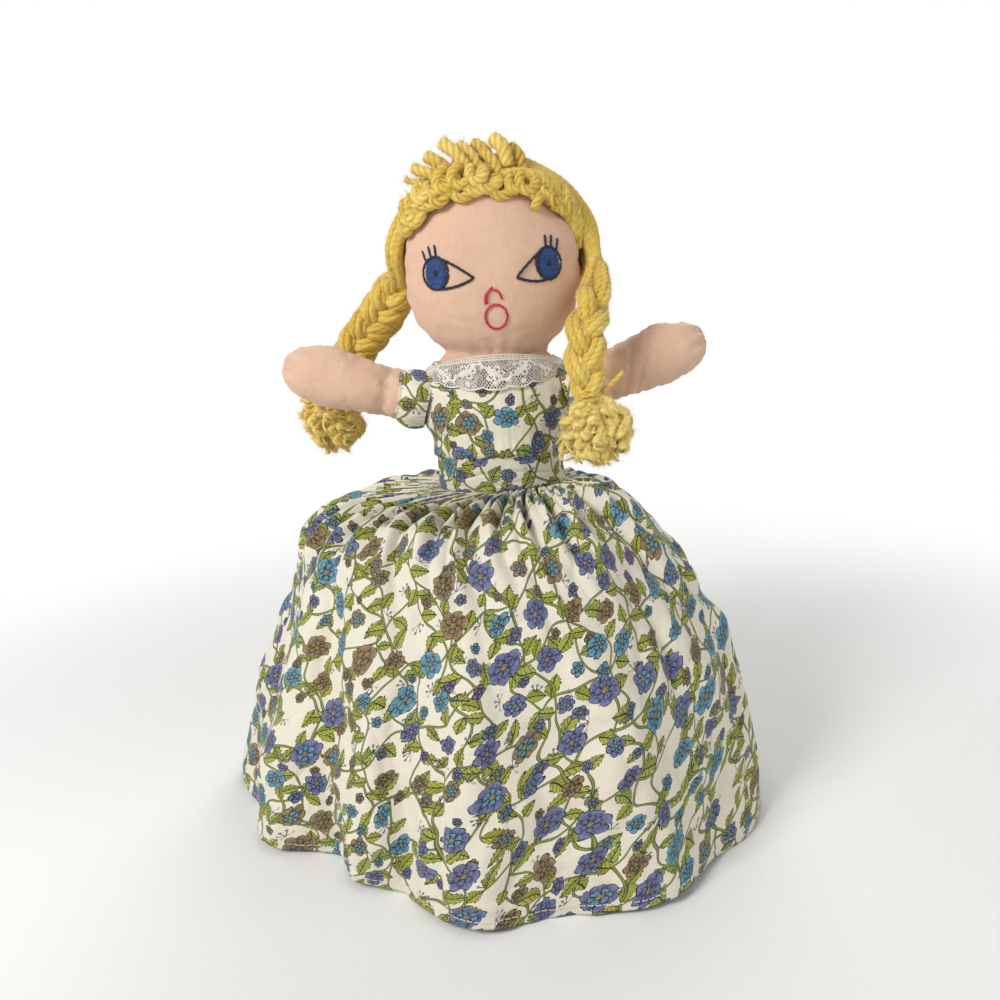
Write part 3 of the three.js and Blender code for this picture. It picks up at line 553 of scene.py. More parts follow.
def vine(kit, colour, x, y, spacing, wave, swing, seed):
    """Lays winding branches over the colour so far, with a leaf by turns on one side and the other."""
    at = y / spacing + seed * .37
    row = at.run("FLOOR")
    start = kit.random(row, .5, seed)
    up = (at - row - .5) * spacing

    def course(at):
        turn = at * (TURN / wave) + start[0] * TURN
        return (turn.run("SINE") + (turn * 2 + start[1] * TURN).run("SINE") * .3) * swing

    slope = (course(x + .5) - course(x - .5))
    away = (up - course(x)) / (slope * slope + 1).run("SQRT")
    thick = kit.noise(x, y, 9, 1, seed) * .4 + .14
    side = away.run("ABSOLUTE")
    rim = side - thick
    colour = kit.mix(kit.under(rim, .0, .12), colour, kit.mix(kit.step(away, -.1, .1) * .6, VINE, LEAF_DARK))
    colour = kit.mix(kit.step(rim, -.16, -.02) * kit.under(rim, .18, .32) * .85, colour, LEAF_LINE)
    cell = (x / LEAF_EVERY).run("FLOOR")
    random = kit.random(cell, row, seed + 3)
    root = (cell + .2) * LEAF_EVERY
    flip = 1 - cell.run("FLOORED_MODULO", 2) * 2
    lean = flip * (.8 + random[0] * .5)
    along, across = turned(x - root, up - course(root), lean)
    length = random[1] * 1.7 + 3.9
    return leaf(kit, colour, along - length - .5, across, length, length * .56, kit.over(random[2], .06))


def spray(kit, colour, x, y, random, present):
    """Lays a little spray of berries on fine stalks over the colour so far."""
    away = (x * x + y * y).run("SQRT")
    angle = y.run("ARCTAN2", x)
    sector = (angle * (8 / TURN)).run("ROUND")
    bend = angle - sector * (TURN / 8)
    reach = kit.random(sector, random[0], 4)[0] * 1.3 + 2.6
    beside = away * bend.run("SINE")
    berry = ((away * bend.run("COSINE") - reach).run("POWER", 2) + beside.run("POWER", 2)).run("SQRT")
    use = present * kit.under(sector.run("ABSOLUTE"), 1.9, 2.1)
    stalk = kit.under(beside.run("ABSOLUTE"), .14, .26) * kit.under(away - reach, -.4, -.3)
    colour = kit.mix(stalk * use * .9, colour, INK)
    fill = kit.mix(kit.step(berry, .3, .42), kit.mix(kit.over(random[1], .5), BLUES[2], TEALS[2]), INK)
    return kit.mix(kit.under(berry, .56, .66) * use, colour, fill)


def print_cloth():
    """Cotton with a small all-over print of leaves, vines, berries and round flowers of the usual kind."""
    kit = Kit("printed cotton", {"Roughness": .78, "Specular IOR Level": .3, "Sheen Weight": .12,
                                 "Sheen Roughness": .5})
    u, v = kit.flat()
    x = u + (kit.noise(u, v, 19, 1, 1) - .5) * 8
    y = v + (kit.noise(u, v, 19, 1, 2) - .5) * 8
    colour = kit.mix(kit.noise(u, v, 40, 2, 8) * .5, CREAM, ink(228, 219, 198))
    for angle, seed, wave in ((.62, 2, 43), (-.95, 5, 36), (2.2, 9, 51)):
        cosine, sine = math.cos(angle), math.sin(angle)
        colour = vine(kit, colour, x * cosine + y * sine, y * cosine - x * sine, VINE_SPACING, wave, VINE_SWING, seed)
    across, up, random = scatter(kit, x, y, *SPRAY_CELL, 7, 5)
    across, up = turned(across, up, random[0] * TURN)
    colour = spray(kit, colour, across, up, random, kit.over(random[2], .25))
    for seed, slide, least, small, more, petals in ((13, 9.6, .16, 2.5, 1.3, 5), (17, 0, .08, 4.0, 3.3, 6)):
        across, up, random = scatter(kit, x + slide, y + slide * .92, *FLOWER_CELL, 17, 6)
        radius = kit.random(random[0] * 91, random[1] * 77, seed)[0] * more + small
        colour = flower(kit, colour, across, up, radius, petals, random, kit.step(random[2], least, least + .004))
    weave = woven(kit, u, v, PRINT_WEAVE)
    colour = kit.mix((weave - .3) * .5, colour, ink(120, 112, 104), "MULTIPLY")
    faded = kit.noise(u, v, 9, 3, 31)
    colour = kit.mix((faded - .4) * .12, colour, CREAM)
    crumple = kit.noise(u, v, 7, 3, 33)
    return kit.finish(colour, weave * .3 + crumple * 3, .55, .0005)


def muslin():
    """The doll's skin: plain peach cotton, a little uneven, with slubs."""
    kit = Kit("peach muslin", {"Roughness": .86, "Specular IOR Level": .22, "Sheen Weight": .25,
                               "Sheen Roughness": .5, "Subsurface Weight": .06, "Subsurface Scale": .004})
    u, v = kit.flat()
    colour = kit.mix(kit.noise(u, v, 26, 3, 1), ink(232, 198, 172), ink(225, 187, 160))
    colour = kit.mix((kit.noise(u, v, 5, 3, 2) - .42) * .5, colour, ink(206, 164, 136))
    weave = woven(kit, u, v, MUSLIN_WEAVE)
    colour = kit.mix((weave - .25) * .6, colour, ink(196, 156, 130), "MULTIPLY")
    speck = kit.step(kit.noise(u, v * .25, .7, 2, 5), .7, .8) * .35
    colour = kit.mix(speck, colour, ink(206, 160, 130))
    return kit.finish(colour, weave * .55 + kit.noise(u, v, 5, 3, 9) * 2.2, .6, .0005)


def wool(name, dark, middle, light):
    """Yarn: painted shade between the plies and painted light on them, with fine fibres along the twist."""
    kit = Kit(name, {"Roughness": .92, "Specular IOR Level": .15, "Sheen Weight": .28, "Sheen Roughness": .6,
                     "Subsurface Weight": .08, "Subsurface Scale": .003})
    u, v = kit.flat()
    tone = kit.tone()
    fibre = kit.noise(u + v * .5, v * .16, .32, 3, 1)
    cloud = kit.noise(u, v, 6, 2, 2)
    share = tone + (fibre - .5) * .8 + (cloud - .5) * .5
    # the tone carries the painted shade between the plies and the painted light on them
    colour = kit.mix(kit.step(share, .0, .42), dark, middle)
    colour = kit.mix(kit.step(share, .45, 1.1), colour, light)
    return kit.finish(colour, fibre * .9 + tone * .2, .9, .0005)


def floss(name, dark, light):
    """Stranded embroidery cotton with the soft shine of its strands."""
    kit = Kit(name, {"Roughness": .5, "Specular IOR Level": .3, "Sheen Weight": .04})
    u, v = kit.flat()
    strand = (u * (TURN / FLOSS_STRAND) + v * 2.4).run("SINE") * .25 + .5
    fibre = kit.noise(u, v * .3, .25, 2, 1)
    colour = kit.mix(strand * .6 + fibre * .5 + kit.tone() * .5 - .25, dark, light)
    return kit.finish(colour, strand + fibre * .5, .6, .0002, .35 + fibre * .3)


def plain_cotton(name, dark, light):
    """Cotton thread or lace, darker in places."""
    kit = Kit(name, {"Roughness": .88, "Specular IOR Level": .25, "Sheen Weight": .3})
    u, v = kit.flat()
    thread_height = kit.noise(u, v, .35, 3, 1)
    colour = kit.mix(thread_height, dark, light)
    colour = kit.mix((kit.noise(u, v, 8, 2, 2) - .4) * .5, colour, dark)
    return kit.finish(colour, thread_height, .8, .0003)


PRINT = print_cloth()
SKIN = muslin()
YARN = wool("yellow yarn", ink(156, 118, 30), ink(224, 188, 76), ink(250, 226, 138))
BLUE = floss("blue floss", ink(15, 32, 74), ink(54, 90, 146))
DARK = floss("black floss", ink(14, 16, 26), ink(38, 42, 58))
RED = floss("red floss", ink(158, 24, 52), ink(218, 70, 92))
SEWING = plain_cotton("sewing thread", ink(124, 88, 64), ink(166, 126, 98))
LACE = plain_cotton("lace cotton", ink(206, 198, 182), ink(246, 242, 232))


def dress(piece, body, slot_name, *nodes):
    """Puts a finished piece on its body in the row of the solids it stands for."""
    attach(piece, body)
    if nodes:
        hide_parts(*nodes)


def across_joint(piece, a, b, start, end, slot_name, *nodes):
    """Fixes a finished piece where it stands and hides the solids it stands for; a, b, start and end are not used."""
    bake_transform(piece)
    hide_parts(*nodes)


# ---------------------------------------------------------------- stuffing

def evened(field, reach, passes=3):
    """A field over rings, blurred along and round them."""
    for _ in range(passes):
        total = sum(np.roll(field, k, 1) for k in range(-reach, reach + 1)) / (2 * reach + 1)
        padded = np.concatenate([total[:1]] * reach + [total] + [total[-1:]] * reach)
        field = sum(padded[k:k + len(total)] for k in range(2 * reach + 1)) / (2 * reach + 1)
    return field


def stuffed(points, seam, held, cap, broad=4):
    """How stuffing moves a sewn tube of cloth, given as rings: Blender's cloth, swollen, with its seams gathered.

    seam and held are shares from 0 to 1: how far the seam gathers each point and how firmly it stays. The broad
    swelling is left out, because the rings have it. What comes back is the rest of each point's way, in millimetres.
    """
    rows, sides = points.shape[:2]
    chosen = np.unique(np.linspace(0, rows - 1, rows // STUFFING_STEP + 1).round().astype(int))
    coarse = points[chosen][:, ::STUFFING_STEP] * STUFFING_SCALE
    shape = Shape()
    shape.tube(coarse, np.zeros((len(chosen), coarse.shape[1] + 1, 2)))
    piece = shape.make("stuffing", SKIN)
    for group, shares, rest in (("seam", seam, 0.0), ("held", held, 1.0)):
        made = piece.vertex_groups.new(name=group)
        weights = np.full(len(piece.data.vertices), rest)
        weights[:coarse.shape[0] * coarse.shape[1]] = shares[chosen][:, ::STUFFING_STEP].ravel()
        for k, weight in enumerate(weights):
            made.add([k], float(weight), "REPLACE")
    cloth = piece.modifiers.new("cloth", "CLOTH").settings
    cloth.quality, cloth.mass, cloth.use_pressure, cloth.uniform_pressure_force = 7, .3, True, 16.0
    cloth.tension_stiffness = cloth.compression_stiffness = 15
    cloth.shear_stiffness, cloth.bending_stiffness = 6, .15
    cloth.vertex_group_shrink, cloth.shrink_min, cloth.shrink_max = "seam", 0, .1
    cloth.vertex_group_mass = "held"
    cloth.effector_weights.gravity = 0
    for number in range(1, STUFFING_FRAMES + 1):
        bpy.context.scene.frame_set(number)
    grown = piece.evaluated_get(bpy.context.evaluated_depsgraph_get()).to_mesh()
    found = np.empty(len(piece.data.vertices) * 3)
    grown.vertices.foreach_get("co", found)
    found = (found.reshape(-1, 3) - AXIS)[:coarse.shape[0] * coarse.shape[1]] / MM
    bpy.data.objects.remove(piece)
    bpy.context.scene.frame_set(1)
    moved = (found.reshape(coarse.shape) - coarse) / STUFFING_SCALE
    moved = moved - evened(moved, broad)
    moved *= np.minimum(1, cap / np.maximum(np.linalg.norm(moved, axis=-1, keepdims=True), 1e-6))
    across = np.arange(sides) / STUFFING_STEP
    low, share = across.astype(int) % coarse.shape[1], (across % 1)[None, :, None]
    moved = moved[:, low] * (1 - share) + moved[:, (low + 1) % coarse.shape[1]] * share
    row = np.interp(np.arange(rows), chosen, np.arange(len(chosen)))
    low = np.minimum(row.astype(int), len(chosen) - 2)
    share = (row - low)[:, None, None]
    return evened(moved[low] * (1 - share) + moved[low + 1] * share, 1, 2)


# ---------------------------------------------------------------- head

def head_sizes(z):
    """Half the width and half the depth of the head's bag at a height."""
    share = np.clip((z - HEAD_BOTTOM) / HEAD_HEIGHT, 0, 1)
    return smooth_table(HEAD_SHARES, share, 1) * HEAD_WIDE, smooth_table(HEAD_SHARES, share, 2) * HEAD_DEEP


def head_relief(points):
    """How far the stuffed head's cloth stands out of its plain form: dents, puckers and creases."""
    x, y, z = points[..., 0], points[..., 1], points[..., 2]
    wide, _ = head_sizes(z)
    seam = bump(y, 0, 1.5) * np.clip((z - 222) / 8, 0, 1)
    pucker = bump(y, 0, 5.5) * np.sin(z * 1.15 + 2 * wobble(points, 22, 3)) * np.clip((z - 222) / 10, 0, 1)
    soft = wobble(points * (1, .5, 1), 21, 1) * 1.05 + wobble(points * (1, .5, 1.6), 8, 2) * .26
    nose = -.8 * bump(x, -1, 5) * bump(z, 247, 8)
    creases = -.55 * bump(z + .28 * (x + 10), 240, 1.3) * bump(x, -17, 9)
    creases -= .4 * bump(z - .2 * x, 233, 1.5) * bump(x, 8, 14)
    neck = np.sin(np.arctan2(y, x) * 13 + 2) * .4 * bump(z, 229, 5)
    flat = np.clip(np.abs(x) / np.maximum(wide, 1), 0, 1)
    return -.8 * seam + .38 * pucker + soft * (1 - .4 * flat) + (nose + creases) * (y < 0) + neck


def head_rings():
    """The head's plain form as rings, and how its stuffing moves them."""
    high = HEAD_BOTTOM + HEAD_HEIGHT * np.sin(np.linspace(0, math.pi / 2, 150)[:-1]) ** 1.15
    high = np.unique(np.concatenate([np.linspace(HEAD_BOTTOM, 236, 34), high[high > 236.5]]))
    points = rings(*head_sizes(high), high, sides=240)
    seam = bump(points[..., 1], 0, 2.2) * (points[..., 2] > 227)
    seam = np.maximum(seam, .6 * bump(points[..., 2], 226, 3))
    return high, points, stuffed(points, seam, 1.0 * (points[..., 2] < 217), 1.8)


def head_front(x, z, lift):
    """The point of the face at that x and z, lifted off the cloth."""
    x, z = np.asarray(x, float), np.asarray(z, float)
    wide, deep = head_sizes(z)
    y = -deep * np.clip(1 - (x / wide) ** 2, 0, 1) ** (SEAM_PINCH / 2)
    points = np.stack([x, y, z], -1)
    high, _, move = HEAD_STUFFED
    row = np.interp(z, high, np.arange(len(high)))
    column = (1 - np.arccos(np.clip(x / wide, -1, 1)) / TURN) * move.shape[1]
    low, left = np.minimum(row.astype(int), len(high) - 2), column.astype(int)
    up, along = row - low, column - left
    left, after = left % move.shape[1], (left + 1) % move.shape[1]
    swell = (move[low, left, 1] * (1 - up) + move[low + 1, left, 1] * up) * (1 - along)
    swell = swell + (move[low, after, 1] * (1 - up) + move[low + 1, after, 1] * up) * along
    return points - (head_relief(points) + lift - swell)[..., None] * (0, 1, 0)


def build_head():
    """The head and the neck in one cloth."""
    shape = Shape()
    _, points, move = HEAD_STUFFED
    outwards = np.where(points[..., 1:2] < 0, (0, -1, 0), grid_normals(points))
    points = points + outwards * head_relief(points)[..., None] + move
    rise = np.clip((points[..., 2] - 216) / 14, 0, 1)
    points[..., 0] += HEAD_ASKEW * rise ** 2 * (3 - 2 * rise)
    ends = (0, 0, HEAD_BOTTOM), (HEAD_ASKEW, 0, HEAD_BOTTOM + HEAD_HEIGHT - .2)
    shape.tube(points, turn_uv(points, HEAD_GIRTH), ends)
    head = shape.make("head", SKIN)
    across_joint(head, "torso", "head", (0, 0, 214), (0, 0, 228), "skin", "head_skin", "head_filling")


FACE_TILT, FACE_MIDDLE = math.radians(1.4), 252
EYE_ASIDE, EYE_HIGH = 26.0, 264.0
IRIS_WIDE, IRIS_TALL, OUTLINE_WIDE, OUTLINE_TALL = 5.3, 6.9, 5.7, 7.2
STEM_OVERLAP, STEM_LIFT = .28, .25


def on_face(x, z, lift):
    """Points of the embroidery, lifted off the cloth. It is tilted a little, as it was sewn."""
    cosine, sine = math.cos(FACE_TILT), math.sin(FACE_TILT)
    x, z = np.asarray(x, float), np.asarray(z, float) - FACE_MIDDLE
    return head_front(x * cosine - z * sine, FACE_MIDDLE + x * sine + z * cosine, lift)


def stitch_line(shape, line, length, radius, slant=.12):
    """Stem stitch: short threads that overlap along a line of (x, z) points on the face."""
    line = np.asarray(line, float)
    run = run_length(line)
    count = max(1, round(run[-1] / length))
    each = run[-1] / count
    for k in range(count):
        at = np.linspace(max((k - STEM_OVERLAP) * each, 0), min((k + 1 + STEM_OVERLAP) * each, run[-1]), 9)
        x, z = points_at(at, run, line).T
        way = unit(np.array([x[-1] - x[0], z[-1] - z[0]]))
        lean = np.linspace(-slant, slant, 9) * radius * 3
        bow = np.sin(np.linspace(0, math.pi, 9)) * radius * .9
        stitch = on_face(x - way[1] * lean, z + way[0] * lean, STEM_LIFT + bow - radius * .4)
        thread(shape, stitch, radius, tone=draw.uniform(.2, .8))


def build_face():
    """The embroidery, in raised threads. The irises are satin stitch, the outlines, nose and mouth stem stitch."""
    for name, side in SIDES.items():
        middle = np.array([EYE_ASIDE * side, EYE_HIGH])
        iris = Shape(HEAD_ASKEW)
        for z in np.arange(-6.7, 6.71, .5):
            half = IRIS_WIDE * math.sqrt(max(1 - (z / IRIS_TALL) ** 2, .02))
            x = np.linspace(-half, half, 15) + draw.uniform(-.12, .12)
            arc = -.35 * (x / IRIS_WIDE) ** 2 + draw.uniform(-.07, .07)
            bow = .32 * np.sqrt(np.clip(1 - (x / (half + .01)) ** 2, 0, 1))
            thread(iris, on_face(middle[0] + x, middle[1] + z + arc, .12 + bow), .34, tone=draw.uniform(.1, .9))
        dress(iris.make(f"{name}_iris", BLUE), "head", "blue", f"{name}_iris")

        pupil = Shape(HEAD_ASKEW)
        turn = np.linspace(0, TURN * 2.6, 40)
        size = np.linspace(.25, 1.05, 40)
        x, z = middle[0] + size * np.cos(turn), middle[1] + size * np.sin(turn) * 1.25
        thread(pupil, on_face(x, z, np.linspace(1.2, .55, 40)), .42)
        dress(pupil.make(f"{name}_pupil", DARK), "head", "dark", f"{name}_pupil")

        outline = Shape(HEAD_ASKEW)
        turn = np.linspace(0, TURN, 60)
        rim = np.stack([middle[0] + OUTLINE_WIDE * np.cos(turn), middle[1] + OUTLINE_TALL * np.sin(turn)], 1)
        stitch_line(outline, rim, 2.6, .6)
        tip = middle + ((17.5, -3.9) if side < 0 else (-15.4, -5.3))
        share = np.linspace(0, 1, 30)[:, None]
        for start, sag in ((middle + (-1.6 * side, 6.9), .5), (middle + (-.5 * side, -7.2), -1.2)):
            line = start + (tip - start) * share
            line[:, 1] += sag * np.sin(math.pi * share[:, 0])
            stitch_line(outline, line, 2.9, .58)
        for base, lean in ((-.9, .02), (1.5, .12), (3.9, .22)):
            start = middle + (base * side, 7.0 * math.sqrt(1 - (base / 5.9) ** 2))
            end = start + (lean * 5.8 * side, 5.7)
            stitch_line(outline, start + (end - start) * share, 3.0, .54)
        dress(outline.make(f"{name}_eye_outline", DARK), "head", "dark", f"{name}_eye_outline")

    mouth = Shape(HEAD_ASKEW)
    turn = np.linspace(0, TURN, 80) + .4
    stitch_line(mouth, np.stack([5.0 * np.cos(turn), 242.2 + 5.4 * np.sin(turn)], 1), 2.1, .54, slant=.16)
    dress(mouth.make("mouth", RED), "head", "red", "mouth")
    nose = Shape(HEAD_ASKEW)
    hook = smooth_path([(-3.9, 0, 248.3), (-3.6, 0, 251.4), (-1.3, 0, 255.0), (-.4, 0, 255.4)], 30)[:, (0, 2)]
    wing = smooth_path([(-.9, 0, 254.6), (1.2, 0, 253.7), (2.7, 0, 251.6), (3.1, 0, 249.6)], 30)[:, (0, 2)]
    for line, length, radius in ((hook, 2.6, .55), (wing, 2.2, .55), (hook[:20] + (-.8, -.3), 2.6, .42)):
        stitch_line(nose, line, length, radius)
    dress(nose.make("nose", RED), "head", "red", "nose")


# ---------------------------------------------------------------- torso, arms and legs

def torso_sizes(z, out):
    """Half the width and half the depth at a height, of the torso or of cloth that lies so far out from it."""
    share = np.clip((z - TORSO_BOTTOM) / TORSO_HEIGHT, 0, 1)
    return (smooth_table(TORSO_SHARES, share, 1) * TORSO_WIDE + out,
            smooth_table(TORSO_SHARES, share, 2) * TORSO_DEEP + out)


def build_torso():
    """The stuffed body under the dress."""
    shape = Shape()
    high = np.concatenate([np.linspace(TORSO_BOTTOM + .3, 152, 12)[:-1], np.linspace(152, 233.5, 60)])
    wide, deep = torso_sizes(high, -.1)
    points = rings(np.maximum(wide, 2), np.maximum(deep, 2), high, sides=120)
    points = raised(points, wobble(points, 17, 4) * .5)
    shape.tube(points, turn_uv(points, TORSO_GIRTH))
    torso = shape.make("torso", SKIN)
    dress(torso, "torso", "skin", "torso_skin", "torso_filling")


def limb_sizes(table, share, rounded, wide, deep):
    """Half the width and half the depth at shares of a limb's length. Its end is round from the given share on."""
    end = np.sqrt(np.clip(1 - ((share - rounded) / (1 - rounded)).clip(0, 1) ** 2, 0, 1))
    found = [np.where(share > rounded, smooth_table(table, rounded, k) * end,
                      smooth_table(table, np.clip(share, 0, 1), k)) for k in (1, 2)]
    return np.maximum(found[0] * wide, .05), np.maximum(found[1] * deep, .05)


def arm_relief(points, side):
    """How far an arm's cloth stands out of its plain form. In its own frame z is along it, x from seam to seam."""
    x, y, z = points[..., 0], points[..., 1], points[..., 2]
    turn = np.arctan2(y, x)
    seam = bump(y, 0, 1.1) * (np.abs(x) > 3)
    pucker = bump(y, 0, 4.5) * np.sin(z * 1.6 + 3 * wobble(points, 11, 5 + side)) * (1 + wobble(points, 9, 31))
    soft = wobble(points * (1, 1, .7), 14, 6 + side) * .7
    cuff = bump(z, 14, 9) * np.sin(turn * 7 + z * .25) * .45
    end = bump(z, 62, 5) * np.sin(turn * 9 + 1) * .6
    thumb = (bump(z, 48, 4.5) - .9 * bump(z, 56, 2.6)) * bump(y, 0, 6) * (x > 0) * (1.5 if side > 0 else .5)
    fold = -.55 * bump(z - .5 * x, 26, 1.4) - .45 * bump(z - .6 * x, 33, 1.2)
    return -.5 * seam + .16 * pucker + soft + cuff + end + thumb + fold * (y < 2)


def build_arm(name, side):
    """One arm with the stitches at its end, its short sleeve and the stitches on the sleeve's edge."""
    share = np.concatenate([np.linspace(-.06, .9, 92), .9 + .1 * np.sin(np.linspace(0, math.pi / 2, 26))[1:]])
    along = share * (ARM_LENGTH - .3)
    plain = rings(*limb_sizes(ARM_SHARES, share, .95, ARM_WIDE, ARM_DEEP), along, sides=96)
    seam = np.maximum(bump(plain[..., 1], 0, 1.8), .8 * bump(plain[..., 2], 15, 3.5))
    move = stuffed(plain, seam, 1.0 * (plain[..., 2] < 3), 1.5, broad=3)
    points = raised(plain, arm_relief(plain, side)) + move
    up, out = np.cos(ARM_RAISE), np.sin(ARM_RAISE)
    axes = np.array([[-out * side, 0, up], [0, 1, 0], [up * side, 0, out]])

    def in_row(points):
        """From the arm's own frame to the doll's."""
        return points * (1, side, 1) @ axes + np.array(SHOULDER) * (side, 1, 1)

    world = in_row(points)
    shape = Shape()
    shape.tube(world[::-1], turn_uv(points, ARM_GIRTH)[::-1])
    arm = shape.make(f"{name}_arm", SKIN)
    dress(arm, f"{name}_arm", "skin", f"{name}_arm_skin", f"{name}_arm_filling")

    ends = Shape()
    inward = grid_normals(world)
    for k in range(9):
        row = int(np.argmin(np.abs(along - 64 + k * 2.3)))
        near = np.arange(46, 51) + (k % 2)
        thread(ends, world[row, near] - inward[row, near] * .08, .24, tone=.4)
    dress(ends.make(f"{name}_hand_stitches", SEWING), f"{name}_arm", "skin")

    cuff = Shape()
    rows, sides = 46, 180
    turn = np.arange(sides) / sides * TURN
    share = np.linspace(0, 1, rows)[:, None]
    full = 12.3 + 2.4 * np.sin(np.clip(share * 1.15, 0, 1) * math.pi) ** .8 - .5 * share
    gather = np.sin(turn * 26 + 2 * np.sin(turn * 3)) * (.55 * np.exp(-share * 5) + .3 * np.exp(-(1 - share) * 7))
    fold = np.sin(turn * 7 + share * 2.2 + side) * .5 * np.sin(share * math.pi)
    radius = full + gather + fold
    reach = -7 + share * 16.0 + 1.2 * share ** 2 * np.sin(turn * 2 + 1)
    points = np.stack([radius * np.cos(turn), radius * .95 * np.sin(turn), reach], -1)
    world = in_row(points)
    cuff.grid(world[::-1], turn_uv(points, SLEEVE_GIRTH)[::-1], wrap=True)
    sleeve = cuff.make(f"{name}_cap_sleeve", PRINT, .55)
    across_joint(sleeve, "torso", f"{name}_arm", (36 * side, 0, 204), (43 * side, 0, 206), "print", f"{name}_sleeve")
    hem = Shape()
    ring, stitches = world[-3], 26
    for k in range(stitches):
        near = ring[np.arange(k * sides // stitches, k * sides // stitches + 5) % sides]
        thread(hem, near + unit(near - ring.mean(0)) * .2, .2, tone=.6)
    dress(hem.make(f"{name}_sleeve_stitches", LACE), f"{name}_arm", "lace")


def build_leg(name, side):
    """One stuffed leg under the skirt, with its foot turned forwards."""
    share = np.concatenate([np.linspace(-.03, .93, 70), .93 + .07 * np.sin(np.linspace(0, math.pi / 2, 22))[1:]])
    forward = smooth_table(LEG_SHARES, np.clip(share, 0, 1), 3) * FOOT_FORWARD
    points = rings(*limb_sizes(LEG_SHARES, share, .972, LEG_WIDE, LEG_WIDE), HIP[2] - share * LEG_LENGTH, forward,
                   sides=72)[:, ::-1]
    low = np.clip((points[..., 2] - 2) / 6, 0, 1)
    seam = bump(points[..., 1], 0, 1.2)
    points = raised(points, low * (wobble(points, 15, 8 + side) * .7 - .5 * seam)) + (HIP[0] * side, 0, 0)
    shape = Shape()
    shape.tube(points, turn_uv(points, LEG_GIRTH))
    leg = shape.make(f"{name}_leg", SKIN)
    across_joint(leg, "torso", f"{name}_leg", (HIP[0] * side, 0, 146), (HIP[0] * side, 0, 132), "skin",
                 f"{name}_leg_skin", f"{name}_leg_filling")


# ---------------------------------------------------------------- dress

def dress_relief(points, seed, fine, size):
    """Small soft folds of fitted cotton."""
    fold = wobble(points * (1, 1, .55), size, seed)
    return (1 - np.abs(fold) * 2.2) * fine + wobble(points, size * 2.4, seed + 2) * fine


def build_bodice():
    """The bodice, and the waistband below it."""
    shape = Shape()
    high = np.linspace(174.6, 222.5, 110)
    wide, deep = torso_sizes(high, 1.7)
    blouse = bump(high, 179, 4.5) * 1.6
    points = rings(wide + blouse, deep + blouse, high, sides=300, pinch=1.05)
    x, y, z = points[..., 0], points[..., 1], points[..., 2]
    turn = np.arctan2(y, x)
    tuck = np.sin(turn * 34 + 2.5 * np.sin(turn * 5)) * .42 * np.exp(-np.abs(z - 176) / 7)
    aside = np.clip((np.abs(x) - 14) / 14, 0, 1)
    pull = np.sin(np.abs(x) * .45 + z * .35) * .4 * aside * bump(z, 196, 14)
    drop = np.where(z < 177, (177 - z) * -.9, 0)
    points = raised(points, dress_relief(points, 12, .5, 10) + tuck + pull + drop)
    shape.grid(points, turn_uv(points, BODICE_GIRTH), wrap=True)
    bodice = shape.make("dress_bodice", PRINT, .5)
    dress(bodice, "torso", "print", "bodice")

    shape = Shape()
    high = np.linspace(158.9, 177.2, 44)
    wide, deep = torso_sizes(high, 1.6)
    edge = np.exp(-(high - 158.9) / 1.2) * -1.2
    points = rings(wide + edge, deep + edge, high, sides=300, pinch=1.08)
    z, turn = points[..., 2], np.arctan2(points[..., 1], points[..., 0])
    crease = -.45 * bump(z - 1.5 * np.sin(turn * 3), 168, .9) - .35 * bump(z + np.sin(turn * 2), 163, .8)
    points = raised(points, dress_relief(points, 15, .3, 8) + crease)
    shape.grid(points, turn_uv(points, WAISTBAND_GIRTH) + (300, 40), wrap=True)
    band = shape.make("dress_waistband", PRINT, .5)
    dress(band, "torso", "print", "waistband")


